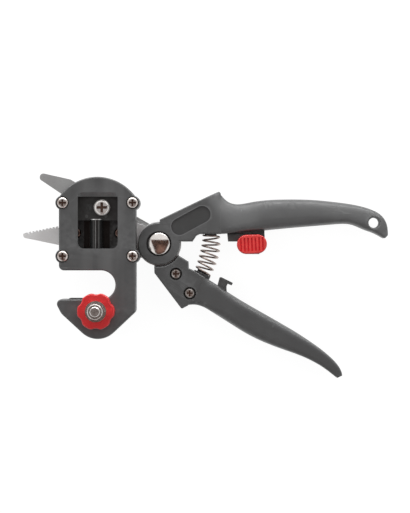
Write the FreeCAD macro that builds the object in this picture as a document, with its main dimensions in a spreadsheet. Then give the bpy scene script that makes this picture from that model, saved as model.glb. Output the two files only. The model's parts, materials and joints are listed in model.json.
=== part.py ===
import FreeCAD, Part
import math
import os

import Sketcher
from FreeCAD import Placement, Rotation, Vector

# Grafting pruner, lying on its back: +X runs along the upper handle, +Z points at the viewer.
# The origin is on the pivot axis, on the back of the pivot nut. Lengths are in millimetres.

# Driving dimensions, each with the name of its cell in the sheet.
SIZES = {
    # Stack of layers, from the back of the pivot nut forwards
    "pivot_nut_height": 3.0,
    "rear_eye_thickness": 3.0,
    "lever_thickness": 2.5,
    "blade_gap": 0.1,
    "counter_thickness": 2.5,
    "front_eye_thickness": 6.4,
    "back_plate_thickness": 3.4,
    "face_wall": 3.4,
    # Clearances and overruns
    "running_clearance": 0.05,
    "side_clearance": 0.25,
    "overrun": 2.0,
    "edge_round": 0.8,
    "horn_round": 1.0,
    # Pivot
    "pivot_radius": 4.0,
    "pivot_head_radius": 6.6,
    "pivot_head_rim": 0.8,
    "pivot_dome_height": 3.0,
    "pivot_recess_radius": 7.5,
    "pivot_recess_depth": 2.5,
    "pivot_nut_flats": 13.0,
    "eye_radius": 12.5,
    "counter_ring_radius": 13.2,
    "shoulder_radius": 13.6,
    # Upper handle
    "upper_length": 136.5,
    "plate_lap": 0.5,
    "grip_width": 18.0,
    "upper_horn_x": 36.1,
    "upper_horn_y": 31.5,
    "upper_top_run": 39.5,
    "upper_top_angle": 25.6,
    "upper_under_y": 5.9,
    "upper_step_x": 22.3,
    "upper_step_run": 2.0,
    "upper_step_drop": 1.0,
    "upper_notch_x": 19.9,
    "upper_notch_y": 1.4,
    "badge_x": 12.3,
    "badge_y": 10.2,
    "badge_length": 15.3,
    "badge_angle": 28.5,
    "badge_radius": 5.0,
    "badge_depth": 0.6,
    "hang_hole_inset": 8.0,
    "hang_hole_y": 12.6,
    "hang_hole_radius": 3.0,
    "hang_hole_flare": 1.1,
    "hang_flare_height": 6.8,
    # Lower handle
    "lower_length": 135.0,
    "lower_axis_angle": -33.0,
    "lower_grip_start": 34.0,
    "lower_shoulder_x": 17.6,
    "lower_shoulder_y": 10.7,
    "lower_shoulder_fall": 4.0,
    "lower_shoulder_lean": 0.1,
    "shoulder_start_angle": -31.0,
    "shoulder_end_angle": -102.0,
    "lower_horn_x": 13.5,
    "lower_horn_y": 38.8,
    "lower_corner_x": 2.7,
    "lower_corner_y": 17.4,
    "neck_left_x": 6.3,
    "neck_left_y": 10.8,
    "neck_low_y": 15.6,
    "neck_right_x": 12.6,
    "neck_right_y": 9.0,
    "neck_top_x": 11.3,
    "tang_half_width": 6.3,
    "tang_screw_1_x": 10.1,
    "tang_screw_1_y": 17.9,
    "tang_screw_2_x": 18.3,
    "tang_screw_2_y": 29.4,
    "tang_screw_head_radius": 3.05,
    "tang_screw_head_height": 2.2,
    "tang_screw_radius": 2.0,
    "tang_bore_radius": 3.7,
    "tang_bore_depth": 3.2,
    # Cutting blade, the lever that swings
    "blade_tip_x": 71.6,
    "blade_tip_y": 42.8,
    "blade_tip_round": 2.2,
    "blade_back_x": 53.4,
    "blade_back_y": 38.7,
    "blade_heel_x": 5.1,
    "blade_heel_y": 11.6,
    "blade_point_x": 71.9,
    "blade_point_y": 38.8,
    "blade_edge_slope": 0.668,
    "blade_root_x": 20.0,
    "bevel_width": 3.0,
    "bevel_depth": 1.5,
    "bevel_length": 44.0,
    "slot_half_width": 2.95,
    "slot_travel": 6.2,
    "slot_lead": 0.31,
    # Counter blade, serrated
    "jaw_tip_x": 82.0,
    "jaw_tip_y": 6.4,
    "jaw_tip_round": 1.4,
    "jaw_point_x": 81.0,
    "jaw_point_y": 3.6,
    "tooth_pitch": 2.05,
    "tooth_depth": 1.0,
    "tooth_line_angle": 11.1,
    "tooth_start_x": 78.4,
    "tooth_start_y": 7.1,
    "tooth_lap": 2.0,
    "jaw_under_x": 60.3,
    "jaw_under_y": 0.7,
    "jaw_root_x": 24.0,
    "jaw_root_low": 10.5,
    "jaw_root_high": 17.8,
    "jaw_tang_reach": 33.0,
    "jaw_tang_angle": 27.0,
    "jaw_tang_half_width": 4.5,
    "notch_half_width": 3.1,
    "notch_floor_y": 2.0,
    # Grafting head
    "head_right_x": 13.4,
    "head_left_x": 58.7,
    "head_shoulder_y": 27.3,
    "head_arch_rise": 12.1,
    "head_bottom_y": 15.8,
    "head_corner_round": 3.0,
    "throat_radius": 8.5,
    "throat_end_x": 33.9,
    "jaw_nose_x": 61.6,
    "jaw_nose_round": 2.8,
    "jaw_knee_x": 57.4,
    "jaw_knee_y": 41.2,
    "jaw_knee_round": 8.0,
    "jaw_keel_x": 35.7,
    "jaw_keel_y": 61.2,
    "jaw_keel_round": 13.5,
    "jaw_heel_y": 40.2,
    "jaw_heel_round": 3.0,
    "head_edge_round": 1.0,
    "head_screw_left_x": 56.5,
    "head_screw_pitch_x": 41.2,
    "head_screw_top_y": 24.1,
    "head_screw_pitch_y": 31.5,
    "head_ear_radius": 4.3,
    "head_screw_radius": 2.0,
    "head_screw_head_radius": 3.3,
    "head_screw_head_height": 2.4,
    "head_bore_radius": 3.7,
    "head_bore_depth": 1.6,
    "head_nut_flats": 7.0,
    "head_nut_height": 2.2,
    "window_left_x": 47.6,
    "window_right_x": 24.0,
    "window_top_y": 27.7,
    "window_bottom_y": 2.9,
    "window_round": 3.5,
    "window_lip": 2.6,
    "window_lip_corner": 0.4,
    "chamber_left_x": 49.5,
    "chamber_right_x": 22.1,
    "chamber_top_y": 31.0,
    "chamber_bottom_y": 3.8,
    "loop_headroom": 0.9,
    "channel_left_x": 45.4,
    "channel_right_x": 28.8,
    "mount_screw_left_x": 49.8,
    "mount_screw_right_x": 23.3,
    "mount_screw_y": 6.4,
    "mount_screw_radius": 1.8,
    "mount_screw_head_radius": 3.2,
    "mount_screw_head_height": 1.8,
    "mount_bore_radius": 3.45,
    "mount_bore_depth": 2.0,
    "gate_left_x": 43.8,
    "gate_right_x": 30.0,
    "gate_top_y": 25.6,
    "gate_bottom_y": 1.9,
    # Carrier and its blade
    "carrier_top_y": 28.4,
    "carrier_bottom_y": 13.8,
    "carrier_headroom": 1.9,
    "drive_x": 33.5,
    "drive_y": 21.4,
    "drive_radius": 2.5,
    "drive_head_radius": 4.9,
    "drive_head_height": 3.3,
    "drive_nut_flats": 8.0,
    "drive_nut_height": 3.6,
    "relief_x": 42.4,
    "relief_y": 18.2,
    "relief_width": 3.2,
    "relief_height": 5.0,
    "graft_centre_x": 37.1,
    "graft_loop_radius": 3.8,
    "graft_gauge": 0.6,
    "graft_neck_half": 0.9,
    "graft_flange_left_x": 44.6,
    "graft_flange_right_x": 29.5,
    "graft_loop_height": 3.8,
    "graft_top_y": 18.3,
    "graft_loop_top_y": 14.6,
    "graft_edge_y": 15.7,
    "graft_pin_radius": 0.9,
    "graft_pin_y": 16.2,
    "graft_pin_left_x": 42.7,
    "graft_pin_right_x": 31.3,
    # Anvil, its bolt and the knob
    "anvil_left_x": 53.6,
    "anvil_right_x": 26.6,
    "anvil_top_y": 32.15,
    "anvil_height": 14.0,
    "anvil_headroom": 0.3,
    "anvil_chamfer": 1.0,
    "anvil_heel_x": 48.6,
    "anvil_heel_y": 41.5,
    "clamp_x": 36.5,
    "clamp_y": 39.8,
    "clamp_radius": 3.0,
    "clamp_bolt_flats": 10.0,
    "clamp_bolt_head": 4.0,
    "knob_radius": 10.9,
    "knob_height": 7.2,
    "knob_scallop_radius": 4.6,
    "knob_scallop_depth": 1.0,
    "knob_edge_round": 0.9,
    "washer_radius": 6.2,
    "washer_thickness": 1.2,
    "locknut_height": 4.0,
    "locknut_collar_radius": 4.6,
    "locknut_collar_height": 2.0,
    "bolt_stand_out": 0.9,
    # Lock
    "slider_left_x": 40.8,
    "slider_right_x": 63.1,
    "slider_slant": 0.5,
    "slider_low_y": 1.4,
    "slider_high_y": 5.8,
    "slider_rail_low": 9.4,
    "slider_rail_high": 11.0,
    "slider_depth": 8.6,
    "slider_neck_depth": 4.8,
    "slider_travel": 4.0,
    "tongue_left_x": 51.7,
    "tongue_right_x": 60.0,
    "tongue_root_x": 54.4,
    "tongue_top_y": 5.35,
    "tongue_low_y": 6.15,
    "pad_x": 55.4,
    "pad_y": 0.3,
    "pad_length": 17.9,
    "pad_width": 11.4,
    "pad_thickness": 4.0,
    "pad_tilt": 2.5,
    "rib_pitch": 2.17,
    "rib_gap": 1.0,
    "rib_depth": 0.8,
    "rib_length": 8.0,
    "rib_field": 16.0,
    # Catch on the lower handle
    "catch_depth": 4.1,
    "catch_top_x": 36.2,
    "catch_top_y": 20.0,
    "catch_crown": 1.2,
    "catch_nose_x": 44.2,
    "catch_nose_y": 23.4,
    "catch_nose_low_x": 43.3,
    "catch_nose_low_y": 24.9,
    "catch_under_x": 41.0,
    "catch_under_y": 23.9,
    "catch_neck_x": 40.3,
    "catch_neck_y": 25.5,
    "catch_root_x": 40.6,
    "catch_root_y": 31.6,
    "catch_left_x": 34.0,
    "catch_left_y": 28.2,
    # Return spring and its seat
    "spring_radius": 4.7,
    "spring_belly": 0.7,
    "spring_wire": 1.2,
    "spring_turns": 6.5,
    "spring_top_x": 30.9,
    "spring_top_y": 5.8,
    "spring_foot_x": 26.0,
    "spring_foot_y": 17.6,
    "seat_angle": 66.0,
    "seat_radius": 5.2,
    "seat_thickness": 2.0,
    "guide_radius": 3.6,
    "guide_length": 1.2,
    "stub_length": 0.8,
}

# Grip stations, from the horn to the tail: place along the handle's axis, its two edges across
# the axis, the depth and the corner round, and the turn in degrees. Places are shares of the
# grip's own run, edges and rounds are shares of the grip width, depths of the handle's.
UPPER_GRIP_SHARES = (
    (0.0030, 1.665, 0.330, 0.97, 0.12, 0.0),
    (0.0305, 1.490, 0.339, 0.97, 0.15, 0.0),
    (0.0625, 1.367, 0.350, 0.97, 0.20, 0.0),
    (0.1079, 1.317, 0.375, 0.97, 0.28, 0.0),
    (0.1874, 1.383, 0.408, 0.97, 0.34, 0.0),
    (0.2763, 1.450, 0.450, 0.97, 0.35, 0.0),
    (0.4148, 1.478, 0.525, 0.97, 0.35, 0.0),
    (0.5540, 1.461, 0.590, 0.97, 0.34, 0.0),
    (0.6830, 1.394, 0.650, 0.94, 0.33, 0.0),
    (0.7919, 1.306, 0.640, 0.90, 0.30, -6.0),
    (0.8764, 1.180, 0.470, 0.85, 0.26, -16.0),
    (0.9430, 0.960, 0.330, 0.77, 0.20, -28.0),
    (0.9796, 0.600, 0.210, 0.68, 0.13, -38.0),
    (0.9932, 0.305, 0.165, 0.60, 0.055, -46.0),
)
LOWER_GRIP_SHARES = (
    (0.0002, -0.106, -1.200, 0.97, 0.12, 0.0),
    (0.0323, -0.104, -1.060, 0.97, 0.15, 0.0),
    (0.0737, -0.100, -0.970, 0.97, 0.22, 0.0),
    (0.1352, -0.104, -0.945, 0.97, 0.30, 0.0),
    (0.2582, -0.098, -0.937, 0.97, 0.35, 0.0),
    (0.3958, -0.057, -0.918, 0.97, 0.35, 0.0),
    (0.5148, -0.018, -0.829, 0.97, 0.33, 0.0),
    (0.6231, 0.010, -0.696, 0.94, 0.30, 0.0),
    (0.7126, 0.012, -0.574, 0.90, 0.25, 0.0),
    (0.7915, -0.002, -0.501, 0.85, 0.21, 0.0),
    (0.8810, -0.062, -0.478, 0.77, 0.17, -8.0),
    (0.9465, -0.172, -0.508, 0.68, 0.13, -20.0),
    (0.9866, -0.340, -0.530, 0.60, 0.07, -32.0),
)

# Shares of the width of the lower handle's flat front, of a screw head's height and radius, of the
# clamp bolt's radius and of the knob's hollows.
LOWER_FALL_SHARE = 0.8
SCREW_SHARES = {"round": 0.6, "recess_floor": 0.45, "recess_reach": 0.62, "recess_half": 0.16}
LIP_SLOPE = -45.0
BOLT_POINT_SHARE = 0.15
LOBE_ROUND_SHARE = 0.6
# Wire diameters from each end of the return spring to its first coil
SPRING_LEAD_SHARE = 1.4

DOC = FreeCAD.newDocument("grafting_pruner")
SHEET = DOC.addObject("Spreadsheet::Sheet", "Sizes")
TOLERANCE = 1e-4
HALF_TURN = (None, False, False)


def fill_sheet():
    """Writes each driving dimension in a cell of its own, beside its name."""
    for row, (alias, value) in enumerate(SIZES.items(), start=1):
        SHEET.set(f"A{row}", alias)
        SHEET.set(f"B{row}", str(value))
        SHEET.setAlias(f"B{row}", alias)
    DOC.recompute()


class Size:
    """A length with its value and the sheet expression that drives it."""

    def __init__(self, value, text):
        self.value = float(value)
        self.text = text

    def combine(self, other, sign, result):
        other = as_size(other)
        return Size(result(self.value, other.value), f"({self.text} {sign} {other.text})")

    def __add__(self, other):
        return self.combine(other, "+", lambda a, b: a + b)

    def __sub__(self, other):
        return self.combine(other, "-", lambda a, b: a - b)

    def __mul__(self, other):
        return self.combine(other, "*", lambda a, b: a * b)

    def __truediv__(self, other):
        return self.combine(other, "/", lambda a, b: a / b)

    def __neg__(self):
        return as_size(0) - self

    __rmul__ = __mul__

    def __radd__(self, other):
        return as_size(other) + self

    def __rsub__(self, other):
        return as_size(other) - self


def as_size(value):
    if isinstance(value, Size):
        return value
    return Size(value, f"({value:.9f})")


def size(alias):
    return Size(SHEET.get(alias), f"{SHEET.Name}.{alias}")


def cosine(angle):
    return Size(math.cos(math.radians(angle.value)), f"cos({angle.text} * 1 deg)")


def sine(angle):
    return Size(math.sin(math.radians(angle.value)), f"sin({angle.text} * 1 deg)")


def arc_tangent(slope):
    return Size(math.degrees(math.atan(slope.value)), f"(atan({slope.text}) / 1 deg)")


def bind(thing, path, value):
    """Sets a property and ties it to the sheet."""
    thing.setExpression(path, as_size(value).text)


ZERO = as_size(0)


def new_body(label):
    body = DOC.addObject("PartDesign::Body", label)
    body.Label = label
    body.AllowCompound = True
    return body


def origin_plane(body, role):
    return next(f for f in body.Origin.OriginFeatures if f.Role == role)


def new_sketch(body, name, height=ZERO, role="XY_Plane"):
    """A sketch on one of the body's own planes, moved along that plane's normal by height."""
    sketch = body.newObject("Sketcher::SketchObject", name)
    sketch.AttachmentSupport = [(origin_plane(body, role), "")]
    sketch.MapMode = "FlatFace"
    sketch.AttachmentOffset = Placement(Vector(0, 0, height.value), Rotation())
    bind(sketch, "AttachmentOffset.Base.z", height)
    return sketch


def hold(sketch, value, kind, *places):
    """Adds a constraint with a size and ties it to the sheet."""
    index = sketch.addConstraint(Sketcher.Constraint(kind, *places, value.value))
    bind(sketch, f"Constraints[{index}]", value)


def pin_point(sketch, geometry, position, x, y):
    """Holds a point of the sketch at x, y from its origin."""
    hold(sketch, x, "DistanceX", -1, 1, geometry, position)
    hold(sketch, y, "DistanceY", -1, 1, geometry, position)


def arc_centre(start, end, radius, left, large):
    """Centre of the arc from start to end, which bulges to the left or right of the way there."""
    chord = end - start
    half = chord.Length / 2
    rise = math.sqrt(max(radius * radius - half * half, 0.0))
    side = Vector(-chord.y, chord.x, 0).normalize()
    if left != large:
        side = -side
    return start + chord * 0.5 + side * rise


def add_arc(sketch, start, end, radius, left, large):
    """An arc between two corners. Without a radius it is half a circle, held by its centre."""
    first, last = (Vector(x.value, y.value, 0) for x, y in (start, end))
    reach = radius.value if radius else (last - first).Length / 2
    centre = arc_centre(first, last, reach, left, large)
    angles = [math.atan2(p.y - centre.y, p.x - centre.x) for p in (first, last)]
    if left:
        angles.reverse()
    while angles[1] <= angles[0]:
        angles[1] += 2 * math.pi
    curve = Part.Circle(centre, Vector(0, 0, 1), reach)
    index = sketch.addGeometry(Part.ArcOfCircle(curve, *angles), False)
    if radius:
        hold(sketch, radius, "Radius", index)
    else:
        upright = abs(last.y - first.y) > abs(last.x - first.x)
        axis = 0 if upright else 1
        middle = (start[axis] + end[axis]) / 2
        hold(sketch, middle, "DistanceX" if upright else "DistanceY", -1, 1, index, 3)
    return (index, 2, 1) if left else (index, 1, 2)


def outline(sketch, corners, arcs=None):
    """Closed outline through the corners. arcs gives, by the number of the corner that it starts
    from, an arc's radius, whether it bulges left, and whether it is more than half a circle."""
    arcs = arcs or {}
    corners = [(as_size(x), as_size(y)) for x, y in corners]
    ends = []
    for number, start in enumerate(corners):
        end = corners[(number + 1) % len(corners)]
        if number in arcs:
            ends.append(add_arc(sketch, start, end, *arcs[number]))
        else:
            places = [Vector(x.value, y.value, 0) for x, y in (start, end)]
            ends.append((sketch.addGeometry(Part.LineSegment(*places), False), 1, 2))
    for number, (index, _, last) in enumerate(ends):
        following, first, _ = ends[(number + 1) % len(ends)]
        sketch.addConstraint(Sketcher.Constraint("Coincident", index, last, following, first))
    for (index, first, _), (x, y) in zip(ends, corners):
        pin_point(sketch, index, first, x, y)
    return sketch


def circle(sketch, x, y, radius):
    place = Vector(x.value, y.value, 0)
    index = sketch.addGeometry(Part.Circle(place, Vector(0, 0, 1), radius.value), False)
    pin_point(sketch, index, 3, x, y)
    hold(sketch, radius, "Radius", index)
    return sketch


def rectangle(sketch, left, right, low, high):
    return outline(sketch, [(left, low), (right, low), (right, high), (left, high)])


def stadium(sketch, start, end, radius):
    """A slot shape between two centres."""
    run = math.hypot(end[0].value - start[0].value, end[1].value - start[1].value)
    length = Size(run, f"hypot({(end[0] - start[0]).text}; {(end[1] - start[1]).text})")
    across_x = (start[1] - end[1]) / length * radius
    across_y = (end[0] - start[0]) / length * radius
    corners = [
        (start[0] + across_x, start[1] + across_y),
        (start[0] - across_x, start[1] - across_y),
        (end[0] - across_x, end[1] - across_y),
        (end[0] + across_x, end[1] + across_y),
    ]
    return outline(sketch, corners, {0: HALF_TURN, 2: HALF_TURN})


def hexagon(sketch, x, y, flats):
    reach = flats / math.sqrt(3)
    corners = [
        (x + reach * math.cos(math.radians(turn)), y + reach * math.sin(math.radians(turn)))
        for turn in range(0, 360, 60)
    ]
    return outline(sketch, corners)


def cross(sketch, x, y, reach, half):
    """The outline of a cross recess."""
    corners = []
    for quarter in range(4):
        cos, sin = ((1, 0), (0, 1), (-1, 0), (0, -1))[quarter]
        for along, side in ((reach, -half), (reach, half), (half, half)):
            corners.append((x + along * cos - side * sin, y + along * sin + side * cos))
    return outline(sketch, corners)


def pad(body, name, sketch, length):
    feature = body.newObject("PartDesign::Pad", name)
    feature.Profile = sketch
    bind(feature, "Length", length)
    sketch.Visibility = False
    DOC.recompute()
    return feature


def pocket(body, name, sketch, length, forward=True):
    """Cuts from the sketch along its normal, or against it."""
    before = body.Shape.Volume
    feature = body.newObject("PartDesign::Pocket", name)
    feature.Profile = sketch
    feature.Reversed = forward
    bind(feature, "Length", length)
    DOC.recompute()
    if not body.Shape.Volume < before:
        raise ValueError(f"{body.Label}: {name} cuts nothing")
    return feature


def straight(edge):
    return not edge.Degenerated and isinstance(edge.Curve, Part.Line)


def upright_edges(shape, places):
    """Names of the straight edges along Z at the given places in plan."""
    names = []
    for x, y in places:
        found = [
            f"Edge{number}"
            for number, edge in enumerate(shape.Edges, start=1)
            if straight(edge)
            and abs(abs(edge.Curve.Direction.z) - 1) < TOLERANCE
            and math.hypot(edge.Vertexes[0].X - x.value, edge.Vertexes[0].Y - y.value) < TOLERANCE
        ]
        if not found:
            raise ValueError(f"no edge at {x.value:.3f}, {y.value:.3f}")
        names += found
    return names


def dress(body, kind, name, edges, reach):
    """A fillet or a chamfer of the named edges of the body's last feature."""
    base = body.Tip
    feature = body.newObject(f"PartDesign::{kind}", name)
    feature.Base = (base, edges)
    bind(feature, "Radius" if kind == "Fillet" else "Size", reach)
    DOC.recompute()
    if feature.State and "Invalid" in feature.State:
        raise ValueError(f"{body.Label}: {name} failed")
    return feature


def round_corners(body, name, places, radius):
    return dress(body, "Fillet", name, upright_edges(body.Shape, places), radius)


def edges_at_height(shape, height, inside=None):
    """Names of the edges that lie wholly at one height, of those that inside accepts."""
    names = []
    for number, edge in enumerate(shape.Edges, start=1):
        box = edge.BoundBox
        flat = abs(box.ZMin - height.value) < TOLERANCE and abs(box.ZMax - height.value) < TOLERANCE
        if flat and (inside is None or inside(edge)):
            names.append(f"Edge{number}")
    return names


def level(*names):
    """Height of the top of the layers named, counted from the origin."""
    total = ZERO
    for name in names:
        total = total + size(name)
    return total


def chamber_depth():
    """Depth of the head's chamber, which holds the loop of the grafting blade."""
    return size("graft_gauge") + size("graft_loop_radius") * 2 + size("loop_headroom")


def carrier_depth():
    return chamber_depth() - size("carrier_headroom")


def anvil_depth():
    return chamber_depth() - size("anvil_headroom")


def layer_heights():
    """Heights of the planes between the layers."""
    rear = level("pivot_nut_height")
    lever = rear + size("rear_eye_thickness")
    lever_top = lever + size("lever_thickness")
    counter = lever_top + size("blade_gap")
    counter_top = counter + size("counter_thickness")
    return {
        "rear": rear,
        "lever": lever,
        "lever_top": lever_top,
        "counter": counter,
        "counter_top": counter_top,
        "front": counter_top + size("front_eye_thickness"),
        "housing": counter_top + size("back_plate_thickness"),
        "face": counter_top + size("back_plate_thickness") + chamber_depth() + size("face_wall"),
    }


def rounded_section(sketch, width, depth, corner):
    """A rounded rectangle about the sketch's origin."""
    half_w, half_d = width / 2, depth / 2
    corners = []
    arcs = {}
    for number, (sx, sy) in enumerate(((1, 1), (-1, 1), (-1, -1), (1, -1))):
        flat_first = [(sx * half_w, sy * (half_d - corner)), (sx * (half_w - corner), sy * half_d)]
        if sx * sy < 0:
            flat_first.reverse()
        corners += flat_first
        arcs[2 * number] = (corner, False, False)
    return outline(sketch, corners, arcs)


def grip_place(start, length, share):
    """Distance from the pivot of a share of the grip's run."""
    return start + (length - start) * share


def grip(body, stations, start, length, angle):
    """Lofted grip through stations along an axis at angle from +X, through the pivot axis."""
    width = size("grip_width")
    middle = LAYERS["front"] / 2
    sections = []
    for number, (along, high, low, deep, corner, turn) in enumerate(stations):
        u = grip_place(start, length, along)
        v = width * ((high + low) / 2)
        sketch = new_sketch(body, f"{body.Label}_station_{number}", ZERO, "YZ_Plane")
        heading = angle + turn
        sketch.AttachmentOffset = Placement(
            Vector(0, 0, 0), Rotation(Vector(0, 1, 0), heading.value)
        )
        bind(sketch, "AttachmentOffset.Base.z", u * cosine(angle) - v * sine(angle))
        bind(sketch, "AttachmentOffset.Base.x", u * sine(angle) + v * cosine(angle))
        bind(sketch, "AttachmentOffset.Base.y", middle)
        bind(sketch, "AttachmentOffset.Rotation.Angle", heading)
        rounded_section(sketch, width * (high - low), LAYERS["front"] * deep, width * corner)
        sections.append(sketch)
    loft = body.newObject("PartDesign::AdditiveLoft", f"{body.Label}_grip")
    loft.Profile = sections[0]
    loft.Sections = sections[1:]
    DOC.recompute()
    return loft


def upper_plate_corners():
    """Corners of the flat front of the upper handle, beside the pivot."""
    top = size("upper_top_angle")
    horn = (size("upper_horn_x"), size("upper_horn_y"))
    start = (horn[0] - size("upper_top_run") * cosine(top), horn[1] - size("upper_top_run") * sine(top))
    first = UPPER_GRIP_SHARES[0][0]
    end_x = grip_place(horn[0], size("upper_length"), first) + size("plate_lap")
    return {
        "start": start,
        "horn": horn,
        "horn_end": (end_x, size("grip_width") * UPPER_GRIP_SHARES[0][1]),
        "under_end": (end_x, size("upper_under_y")),
        "under": (size("upper_step_x") + size("upper_step_run"), size("upper_under_y")),
        "step": (size("upper_step_x"), size("upper_under_y") - size("upper_step_drop")),
        "notch": (size("upper_notch_x"), size("upper_notch_y")),
        "root": (ZERO, size("upper_notch_y")),
    }


def make_upper_handle():
    body = new_body("upper_handle")
    front = LAYERS["front"]
    places = upper_plate_corners()
    sketch = outline(new_sketch(body, "upper_plate_outline"), list(places.values()))
    pad(body, "upper_plate", sketch, front)
    round_corners(body, "upper_horn_round", [places["horn"]], size("horn_round"))
    hollow = circle(new_sketch(body, "lever_sweep"), ZERO, ZERO, size("shoulder_radius"))
    pocket(body, "lever_room", hollow, LAYERS["counter_top"])
    eye = circle(new_sketch(body, "eye_outline", LAYERS["counter_top"]), ZERO, ZERO, size("eye_radius"))
    pad(body, "eye", eye, size("front_eye_thickness"))
    rim = edges_at_height(body.Shape, front)
    dress(body, "Fillet", "plate_round", rim, size("edge_round"))
    grip(body, UPPER_GRIP_SHARES, size("upper_horn_x"), size("upper_length"), ZERO)

    recess = new_sketch(body, "pivot_recess_outline", front - size("pivot_recess_depth"))
    circle(recess, ZERO, ZERO, size("pivot_recess_radius"))
    pocket(body, "pivot_recess", recess, size("pivot_recess_depth") + size("overrun"))
    bore = circle(
        new_sketch(body, "pivot_bore_outline"), ZERO, ZERO,
        size("pivot_radius") + size("running_clearance"),
    )
    pocket(body, "pivot_bore", bore, front)
    badge_end = (
        size("badge_x") + size("badge_length") * cosine(size("badge_angle")),
        size("badge_y") + size("badge_length") * sine(size("badge_angle")),
    )
    badge = new_sketch(body, "badge_outline", front - size("badge_depth"))
    stadium(badge, (size("badge_x"), size("badge_y")), badge_end, size("badge_radius"))
    pocket(body, "badge_recess", badge, size("badge_depth") + size("overrun"))
    tang = new_sketch(body, "tang_slot_outline", LAYERS["counter"])
    jaw_tang(tang, ZERO)
    pocket(body, "tang_slot", tang, size("counter_thickness"))
    hang = new_sketch(body, "hang_hole_outline")
    circle(hang, hang_hole_x(), size("hang_hole_y"), size("hang_hole_radius"))
    pocket(body, "hang_hole", hang, front)
    flare_hanging_hole(body)
    cut_slider_groove(body)
    add_spring_guide(body)
    return body


def hang_hole_x():
    return size("upper_length") - size("hang_hole_inset")


def flare_hanging_hole(body):
    """Opens both mouths of the hanging hole with a cone."""
    middle = LAYERS["front"] / 2
    land = size("hang_hole_radius") / 2
    wide = size("hang_hole_radius") + size("hang_hole_flare")
    for side, sign in (("front", 1), ("back", -1)):
        sketch = new_sketch(body, f"hang_flare_{side}_outline", ZERO, "XZ_Plane")
        bind(sketch, "AttachmentOffset.Base.z", -size("hang_hole_y"))
        x = hang_hole_x()
        low = middle + sign * land
        high = middle + sign * size("hang_flare_height")
        over = high + sign * size("overrun")
        outline(sketch, [
            (x, low),
            (x + size("hang_hole_radius"), low),
            (x + wide, high),
            (x + wide, over),
            (x, over),
        ])
        groove = body.newObject("PartDesign::Groove", f"hang_flare_{side}")
        groove.Profile = sketch
        groove.ReferenceAxis = (sketch, ["Edge5"])
        groove.Angle = 360
        DOC.recompute()


def cut_slider_groove(body):
    """The T-shaped track of the lock's slider, under the upper handle."""
    play = size("side_clearance")
    middle = LAYERS["front"] / 2
    left = size("slider_left_x") - size("slider_travel") - play
    right = size("slider_right_x") + play
    for name, low, high, depth in (
        ("rail", size("slider_rail_low"), size("slider_rail_high"), size("slider_depth")),
        ("neck", ZERO, size("slider_rail_low"), size("slider_neck_depth")),
    ):
        sketch = new_sketch(body, f"slider_{name}_outline", middle - depth / 2 - play)
        rectangle(sketch, left, right, low - play, high + play)
        pocket(body, f"slider_{name}_groove", sketch, depth + play * 2)


def add_spring_guide(body):
    """The stub under the upper handle that holds the top of the spring."""
    sketch = new_sketch(body, "guide_outline", ZERO, "XZ_Plane")
    bind(sketch, "AttachmentOffset.Base.z", size("stub_length") - size("spring_top_y"))
    circle(sketch, size("spring_top_x"), LAYERS["front"] / 2, size("guide_radius"))
    stub = body.newObject("PartDesign::Pad", "spring_guide")
    stub.Profile = sketch
    stub.Reversed = True
    bind(stub, "Length", size("stub_length") + size("overrun"))
    DOC.recompute()


def jaw_tang(sketch, grow):
    """The counter blade's tang, from the pivot into the upper handle."""
    angle = size("jaw_tang_angle")
    end = (size("jaw_tang_reach") * cosine(angle), size("jaw_tang_reach") * sine(angle))
    return stadium(sketch, (ZERO, ZERO), end, size("jaw_tang_half_width") + grow)


def lever_tang(sketch, grow):
    """The cutting blade's tang, from the pivot into the lower handle."""
    end = (size("tang_screw_2_x"), -size("tang_screw_2_y"))
    return stadium(sketch, (ZERO, ZERO), end, size("tang_half_width") + grow)


def tang_screw_places():
    return [(size(f"tang_screw_{n}_x"), -size(f"tang_screw_{n}_y")) for n in (1, 2)]


def lower_frame(u, v):
    """A place along and across the axis of the lower handle."""
    angle = size("lower_axis_angle")
    return (u * cosine(angle) - v * sine(angle), u * sine(angle) + v * cosine(angle))


def lower_plate_corners():
    """Corners of the flat front of the lower handle, and its arc about the pivot."""
    width, shoulder = size("grip_width"), size("shoulder_radius")
    u_end = size("lower_grip_start") + size("plate_lap")
    left, right = size("shoulder_end_angle"), size("shoulder_start_angle")
    fall = (size("lower_shoulder_x"), -size("lower_shoulder_y"))
    return [
        (shoulder * cosine(right), shoulder * sine(right)),
        fall,
        (fall[0] + size("lower_shoulder_lean"), fall[1] - size("lower_shoulder_fall")),
        lower_frame(u_end * LOWER_FALL_SHARE, width * LOWER_GRIP_SHARES[0][1]),
        lower_frame(u_end, width * LOWER_GRIP_SHARES[0][1]),
        lower_frame(u_end, width * LOWER_GRIP_SHARES[0][2]),
        (size("lower_horn_x"), -size("lower_horn_y")),
        (-size("lower_corner_x"), -size("lower_corner_y")),
        (shoulder * cosine(left), shoulder * sine(left)),
    ]


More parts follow.
